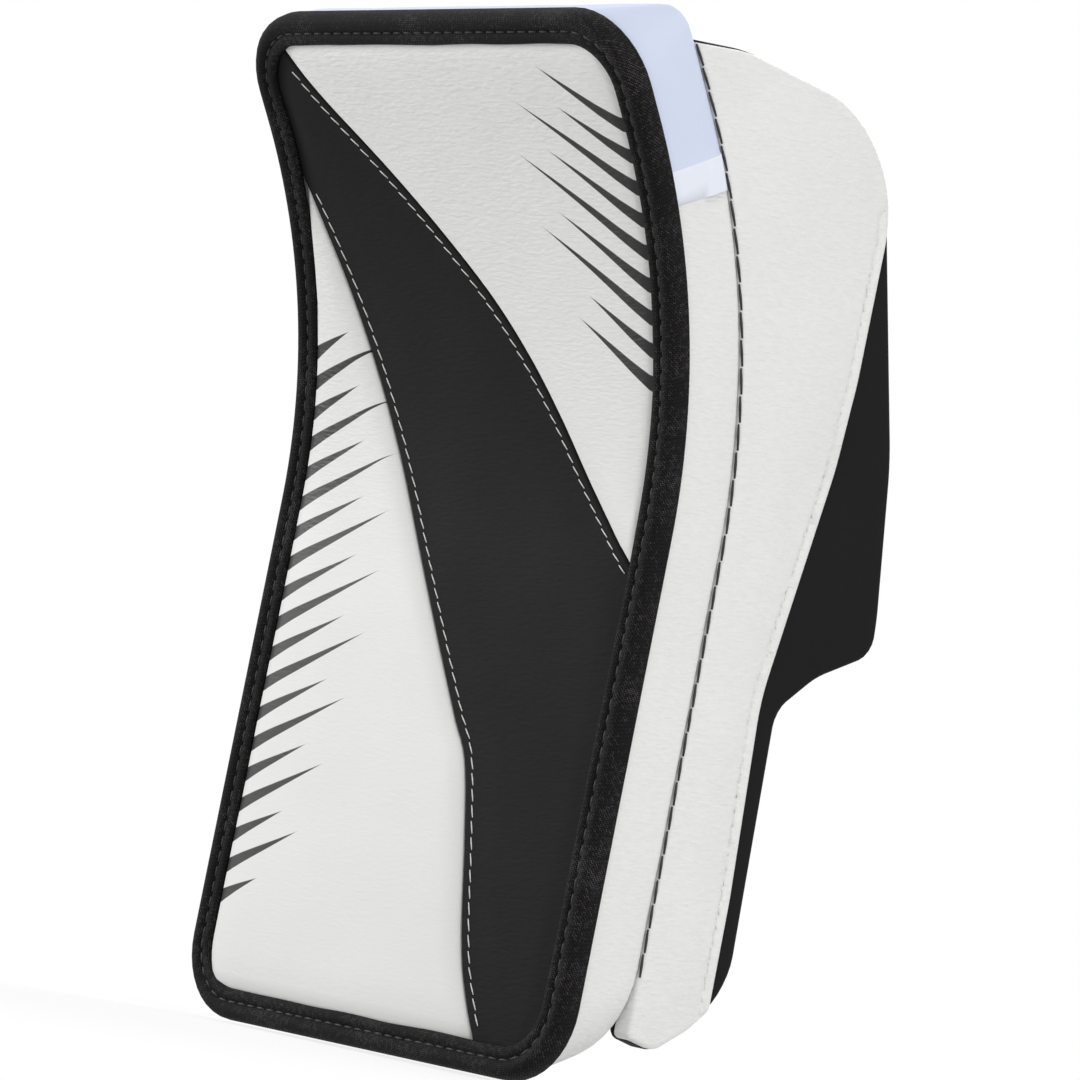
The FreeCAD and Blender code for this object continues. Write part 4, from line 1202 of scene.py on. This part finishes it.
guard = {"top": 120, "share": 0.72, "half": 7.6, "gap": 0.25, "thick": 2.3, "corner": 5, "channel": 1.1,
         "channels": (0.34, 0.68), "turn": 0, "off": 0.1}


# a quilted guard bent round a stall
def guardPad(name, body, x, y, radius, top, length, look):
    shape = roundedBox(-look["half"], -length, look["half"], 0, guard["corner"])
    gap = nearTree(outlinePoints(shape, 1.5))

    def rise(flat):
        pinch = sum(hump(flat.y, -length * share, 1.3) for share in look["channels"])
        return 0.9 * smoothStep(gap(flat), 0.5, 6) - guard["channel"] * min(pinch, 1)

    def onGuard(flat):
        turned = flat.x / (radius + 1.6) + math.radians(look["turn"])
        reach = radius + look["off"] + flat.z
        return inRow(x + reach * math.sin(turned), y - reach * math.cos(turned), top + flat.y)

    bm = swell(slab(shape, guard["gap"], look["thick"], (1.1, 0.3), 2.4, 2.0), rise, look["thick"] - 0.4)
    padded(sew(name, bm, onGuard, padCover, body))


for name, look in fingers.items():
    x, y, radius = look["x"], stalls["y"], stalls["radius"]
    tip = stalls["mouth"] - look["length"]
    creases = [tip + look["length"] * share for share in stalls["creases"]]
    flex = ("board", look["body"], *[inRow(x, stalls["flexY"], height) for height in stalls["flex"]])
    stall("fingerStall" + name, x, y, stalls["tuck"], tip, radius, creases, stalls["segments"], flex)
    sideSeams("fingerSeam" + name, x, y, stalls["mouth"] - 1, tip, radius, flex)
    guardPad("fingerGuard" + name, look["body"], x, y, radius, guard["top"], look["length"] * guard["share"], guard)

thumb = {"x": 53.9, "y": 55.5, "mouth": 166, "top": 187.5, "length": 56, "radius": 10.4, "segments": 30, "flexY": 66.2,
         "flex": (173, 158), "hems": (2.4, 4.6), "hemStitch": (1.5, 0.6), "stitches": 36}
thumbGuard = {"top": 161, "length": 40.3, "half": 13.4, "turn": 135, "thick": 2.6, "channels": (0.36, 0.7),
              "off": 0.15}
x, y, radius = thumb["x"], thumb["y"], thumb["radius"]
tip = thumb["mouth"] - thumb["length"]
flex = ("board", "thumb", *[inRow(x, thumb["flexY"], height) for height in thumb["flex"]])
stall("thumbSkin", x, y, thumb["top"], tip, radius, (tip + 24, thumb["mouth"]), thumb["segments"], flex,
      ["thumb_stall", "thumb_collar"])
bm = bmesh.new()
for hem in thumb["hems"]:
    for k in range(thumb["stitches"]):
        turned = k / thumb["stitches"] * 2 * math.pi
        way = Vector((math.cos(turned), math.sin(turned), 0))
        place = Vector((x, y, thumb["top"] - hem)) + way * (radius + stalls["seamOut"])
        threadLump(bm, place, headed(Vector((-way.y, way.x, 0))), *thumb["hemStitch"])
sew("thumbHemStitch", bm, asDrawn, greyThread)

# the web of soft leather between the palm and the thumb's collar
web = {"low": 172.5, "high": 187.0, "ends": ((55.0, 67.0), (42.0, 62.7), (31.5, 62.3)), "wall": 1.2, "across": 26,
       "sag": 2.4, "climb": 3.0, "stitchIn": 1.6, "stitch": (3.2, 2.4, 0.62), "lift": 0.12}


def onWeb(flat):
    first, middle, last = [Vector(end) for end in web["ends"]]
    share = flat.x / web["across"]
    spot = first.lerp(middle, share).lerp(middle.lerp(last, share), share)
    return inRow(spot.x, spot.y + flat.z, flat.y)


def webEdges(gone):
    share = gone / web["across"]
    dip = web["sag"] * math.sin(math.pi * share)
    return web["low"] + dip, web["high"] - dip + web["climb"] * share


def inWeb(share, up):
    gone = web["across"] * share
    low, high = webEdges(gone)
    height = low + (high - low) * up
    return Vector((gone, height, 0.2 * ripple(gone / 6, height / 6, 8.1)))


sewSheet("thumbWeb", gridSheet(18, 12, inWeb), onWeb, palmLeather, web["wall"], (0.0253, 0.0126),
         slot="palm_leather")
lines = []
for gone in (web["stitchIn"], web["across"] - web["stitchIn"]):
    low, high = webEdges(gone)
    lines.append(([Vector((gone, low + 1 + (high - low - 2) * k / 14, 0.1)) for k in range(15)], web["stitch"]))
stitchLines("thumbWebStitch", lines, onWeb, greyThread, lift=web["lift"])
guardPad("thumbGuard", "thumb", x, y, radius, thumbGuard["top"], thumbGuard["length"], thumbGuard)

print("cuff and strap")
cuff = {"low": 206.8, "high": 264.4, "back": 63.8, "round": 12, "frontRounds": (4, 5), "gap": 0.5, "voxel": 2.2,
        "pressure": 3, "cap": 1.8, "sides": {"Little": -59.0, "Thumb": 53.0}, "half": 2.3, "steps": 6,
        "stitchIn": 5, "stitchOut": 2.0}


# a cuff wall's front edge follows the bend of the board's back
def wingShape(inset):
    low, high, back = cuff["low"] + inset, cuff["high"] - inset, cuff["back"] - inset
    reach = board["radius"] + board["back"] + cuff["gap"]
    front = []
    for k in range(cuff["steps"] + 1):
        height = low + (cuff["high"] - cuff["low"] - 2 * inset) * k / cuff["steps"]
        turned = math.asin((height - board["straight"]) / reach)
        front.append((reach * math.cos(turned) - board["radius"] + inset, height, 0))
    for end, radius in zip((0, -1), cuff["frontRounds"]):
        front[end] = (*front[end][:2], radius)
    return [(back, low, cuff["round"] - inset), (back, high, cuff["round"] - inset)] + front[::-1]


wingGap = nearTree(outlinePoints(wingShape(0), 2.0))


def wingRise(flat):
    gap = wingGap(flat)
    rise = 0.8 * smoothStep(gap, 3, 14) - 0.75 * hump(gap, cuff["stitchIn"], 1.5)
    return math.copysign(rise, flat.z) if abs(flat.z) > 1.2 else 0


for name, middle in cuff["sides"].items():
    bm = slab(wingShape(0), -cuff["half"], cuff["half"], (1.6, 1.6), 3, 3)
    bm = swell(puffed(bm, cuff, lambda flat: wingGap(flat) < 1.6), wingRise)
    padded(sew("cuffWing" + name, bm, onSide(middle), padCover))
    for way in (-1, 1):
        stitchRound(f"cuffStitch{name}{'In' if way * middle < 0 else 'Out'}", wingShape(cuff["stitchIn"]),
                    way * cuff["stitchOut"], fineStitch, onSide(middle), greyThread)

strap = {"low": 220.6, "high": 245.6, "out": 66.2, "left": -61.6, "right": 60.4, "corner": 6, "end": 40.6, "wall": 1.8,
         "steps": 110, "rounded": 8, "stitchIn": 2.4, "stitchAt": 0.1, "tip": 12}
strapFlat = strap["right"] - strap["corner"] - strap["left"]
strapArc = strap["corner"] * math.pi / 2
strapDown = strap["out"] - strap["corner"] - strap["end"]
strapWay = strapFlat + strapArc + strapDown
# along the strap's outer side from its free end round the thumb's wing and across the wrist
onStrap = onWall((strap["right"], strap["end"]), (0, 1), [
    (strapDown, 0), (strapArc, strap["corner"]), (math.inf, 0)])


# a length of the strap's webbing, narrowed over its first part where its end is cut round
def webbing(length, steps, rounded):
    def place(share, up):
        gone = length * share
        side = (up - 0.5) * 2
        half = (strap["high"] - strap["low"]) / 2
        if gone < rounded:
            half *= 0.55 + 0.45 * math.sqrt(1 - (1 - gone / rounded) ** 2)
        edge = smoothStep(abs(side), 0.82, 1.0)
        return Vector((gone, (strap["low"] + strap["high"]) / 2 + half * side, 0.12 - 0.35 * edge))

    return layMap(gridSheet(steps, 18, place), ownLengths)


def strapPoint(gone, up):
    return Vector((gone, strap["low"] + up, strap["stitchAt"]))


bm = webbing(strapWay, strap["steps"], strap["rounded"])
sewSheet("wristStrap", bm, onStrap, blackTape, strap["wall"], (0.025, strapWay * metres), "strap")
inset = strap["stitchIn"]
lines = [([strapPoint(k, up) for k in range(10, int(strapWay) - 1)], fineStitch)
         for up in (inset, strap["high"] - strap["low"] - inset)]
lines.append(([strapPoint(strap["tip"], inset + k) for k in range(21)], closeStitch))
stitchLines("strapStitch", lines, onStrap, greyThread, "strap")

# the strap's root, which turns round the wing's rear edge and is sewn down on its outer side
root = {"corner": 3.1, "down": 13.6, "steps": 30, "box": ((6.2, 2.4), (6.2, 22.6), (16.6, 22.6), (16.6, 2.4)),
        "flex": ((-64.3, 61.2, 233), (-61.8, 65.4, 233))}
rootArc = root["corner"] * math.pi / 2
onRoot = onWall((strap["left"], strap["out"]), (-1, 0), [(rootArc, root["corner"]), (math.inf, 0)])
bm = webbing(rootArc + root["down"], root["steps"], 0)
flex = ("board", "strap", *[inRow(*place) for place in root["flex"]])
sewSheet("strapRoot", bm, onRoot, blackTape, strap["wall"], (0.025, (rootArc + root["down"]) * metres), flex, "folded",
         slot="black_webbing")
lines = []
for first, second in ((0, 1), (1, 2), (2, 3), (3, 0), (0, 2), (1, 3)):
    start, end = [strapPoint(*root["box"][k]) for k in (first, second)]
    lines.append(([start.lerp(end, k / 20) for k in range(21)], closeStitch))
stitchLines("strapRootStitch", lines, onRoot, greyThread)

tabs = {
    "loopPatch": {"body": "board", "x": 56.1, "thick": 1.0},
    "hookPatch": {"body": "strap", "x": 57.3, "thick": 1.1},
}
for name, look in tabs.items():
    bm = slab(roundedBox(42.3, 222.6, 61.3, 243.6, 3), 0, look["thick"], (0.35, 0.2), 3, 3)
    swell(bm, lambda flat: 0.15 * noise.noise(flat * 0.9), look["thick"] - 0.05)
    sewSheet(name, bm, onSide(look["x"]), pileLook, 0, (0.019, 0.021), look["body"])

print("core")


# closed-cell foam and moulded sheet inside the board
def coreFinish(name, colour, deep, scale, roughness):
    finish = material(name)
    place = finish.place()
    cells = finish.cells(place, scale)
    tone = finish.cloud(place, 30)
    ground = finish.blended((cells + tone * 0.4).held(), deep, colour)
    return finish.surface(ground, roughness + (tone - 0.5) * 0.1, (cells, 0.3, 0.0003))


foamFinish = coreFinish("closedFoam", shade(0.25, 0.25, 0.27), shade(0.16, 0.16, 0.17), 900, 0.85)
plateFinish = coreFinish("sheetPlastic", shade(0.8, 0.8, 0.78), shade(0.72, 0.72, 0.7), 260, 0.45)
core = {
    "impactFoam": {"front": 1.8, "back": 10.4, "finish": foamFinish},
    "boardPlate": {"front": 10.7, "back": 12.1, "finish": plateFinish},
    "backingFoam": {"front": 12.4, "back": 22.4, "finish": foamFinish},
}
for name, look in core.items():
    bm = slab(innerShape(look["back"], 3.2), -look["back"], -look["front"], (0.4, 0.4), 4, 9)
    sew(name, bm, onBoard, look["finish"])

print("stage and light")
white = shade(1, 1, 1)
stage = {"level": -0.1667, "radius": 0.9, "tone": shade(0.72, 0.72, 0.72), "deep": shade(0.7, 0.7, 0.705),
         "glow": 1.08, "share": 0.7}
bm = bmesh.new()
bmesh.ops.create_circle(bm, cap_ends=True, segments=96, radius=stage["radius"],
                        matrix=Matrix.Translation((0, 0, stage["level"])))
floorMesh = bpy.data.meshes.new("floor")
bm.to_mesh(floorMesh)
bm.free()
linked("floor", floorMesh)
finish = material("paleFloor")
floorTone = finish.cloud(finish.place(), 6)
floorMesh.materials.append(finish.surface(finish.blended(floorTone, stage["tone"], stage["deep"]), 0.8))
glow = finish.node("ShaderNodeEmission", {}, {"Color": white, "Strength": stage["glow"]})
lit = Wire(finish, finish.tree.nodes["Principled BSDF"].outputs[0])
finish.twofold("Material Output", stage["share"], lit, glow)

sky = {"lit": 0.46, "seen": 1.0}
scene.world = bpy.data.worlds.new("studio")
finish = Finish(scene.world)
lit, seen = [finish.node("ShaderNodeBackground", {}, {"Color": white, "Strength": sky[use]}) for use in sky]
finish.twofold("World Output", 1, lit, seen)

lamps = {
    "keyLamp": {"place": (-1.55, -1.05, 0.55), "size": 0.8, "power": 20},
    "sideLamp": {"place": (1.7, -0.3, 0.5), "size": 0.9, "power": 12.5},
    "topLamp": {"place": (0.2, -0.4, 1.5), "size": 1.0, "power": 5},
    "backLamp": {"place": (-0.6, 1.4, 1.1), "size": 1.0, "power": 15},
}
for name, look in lamps.items():
    lampData = bpy.data.lights.new(name, "AREA")
    lampData.size = look["size"]
    lampData.energy = look["power"]
    lamp = linked(name, lampData)
    lamp.matrix_world = Matrix.Translation(look["place"]) @ headed(-Vector(look["place"]), "-Z", "Y")
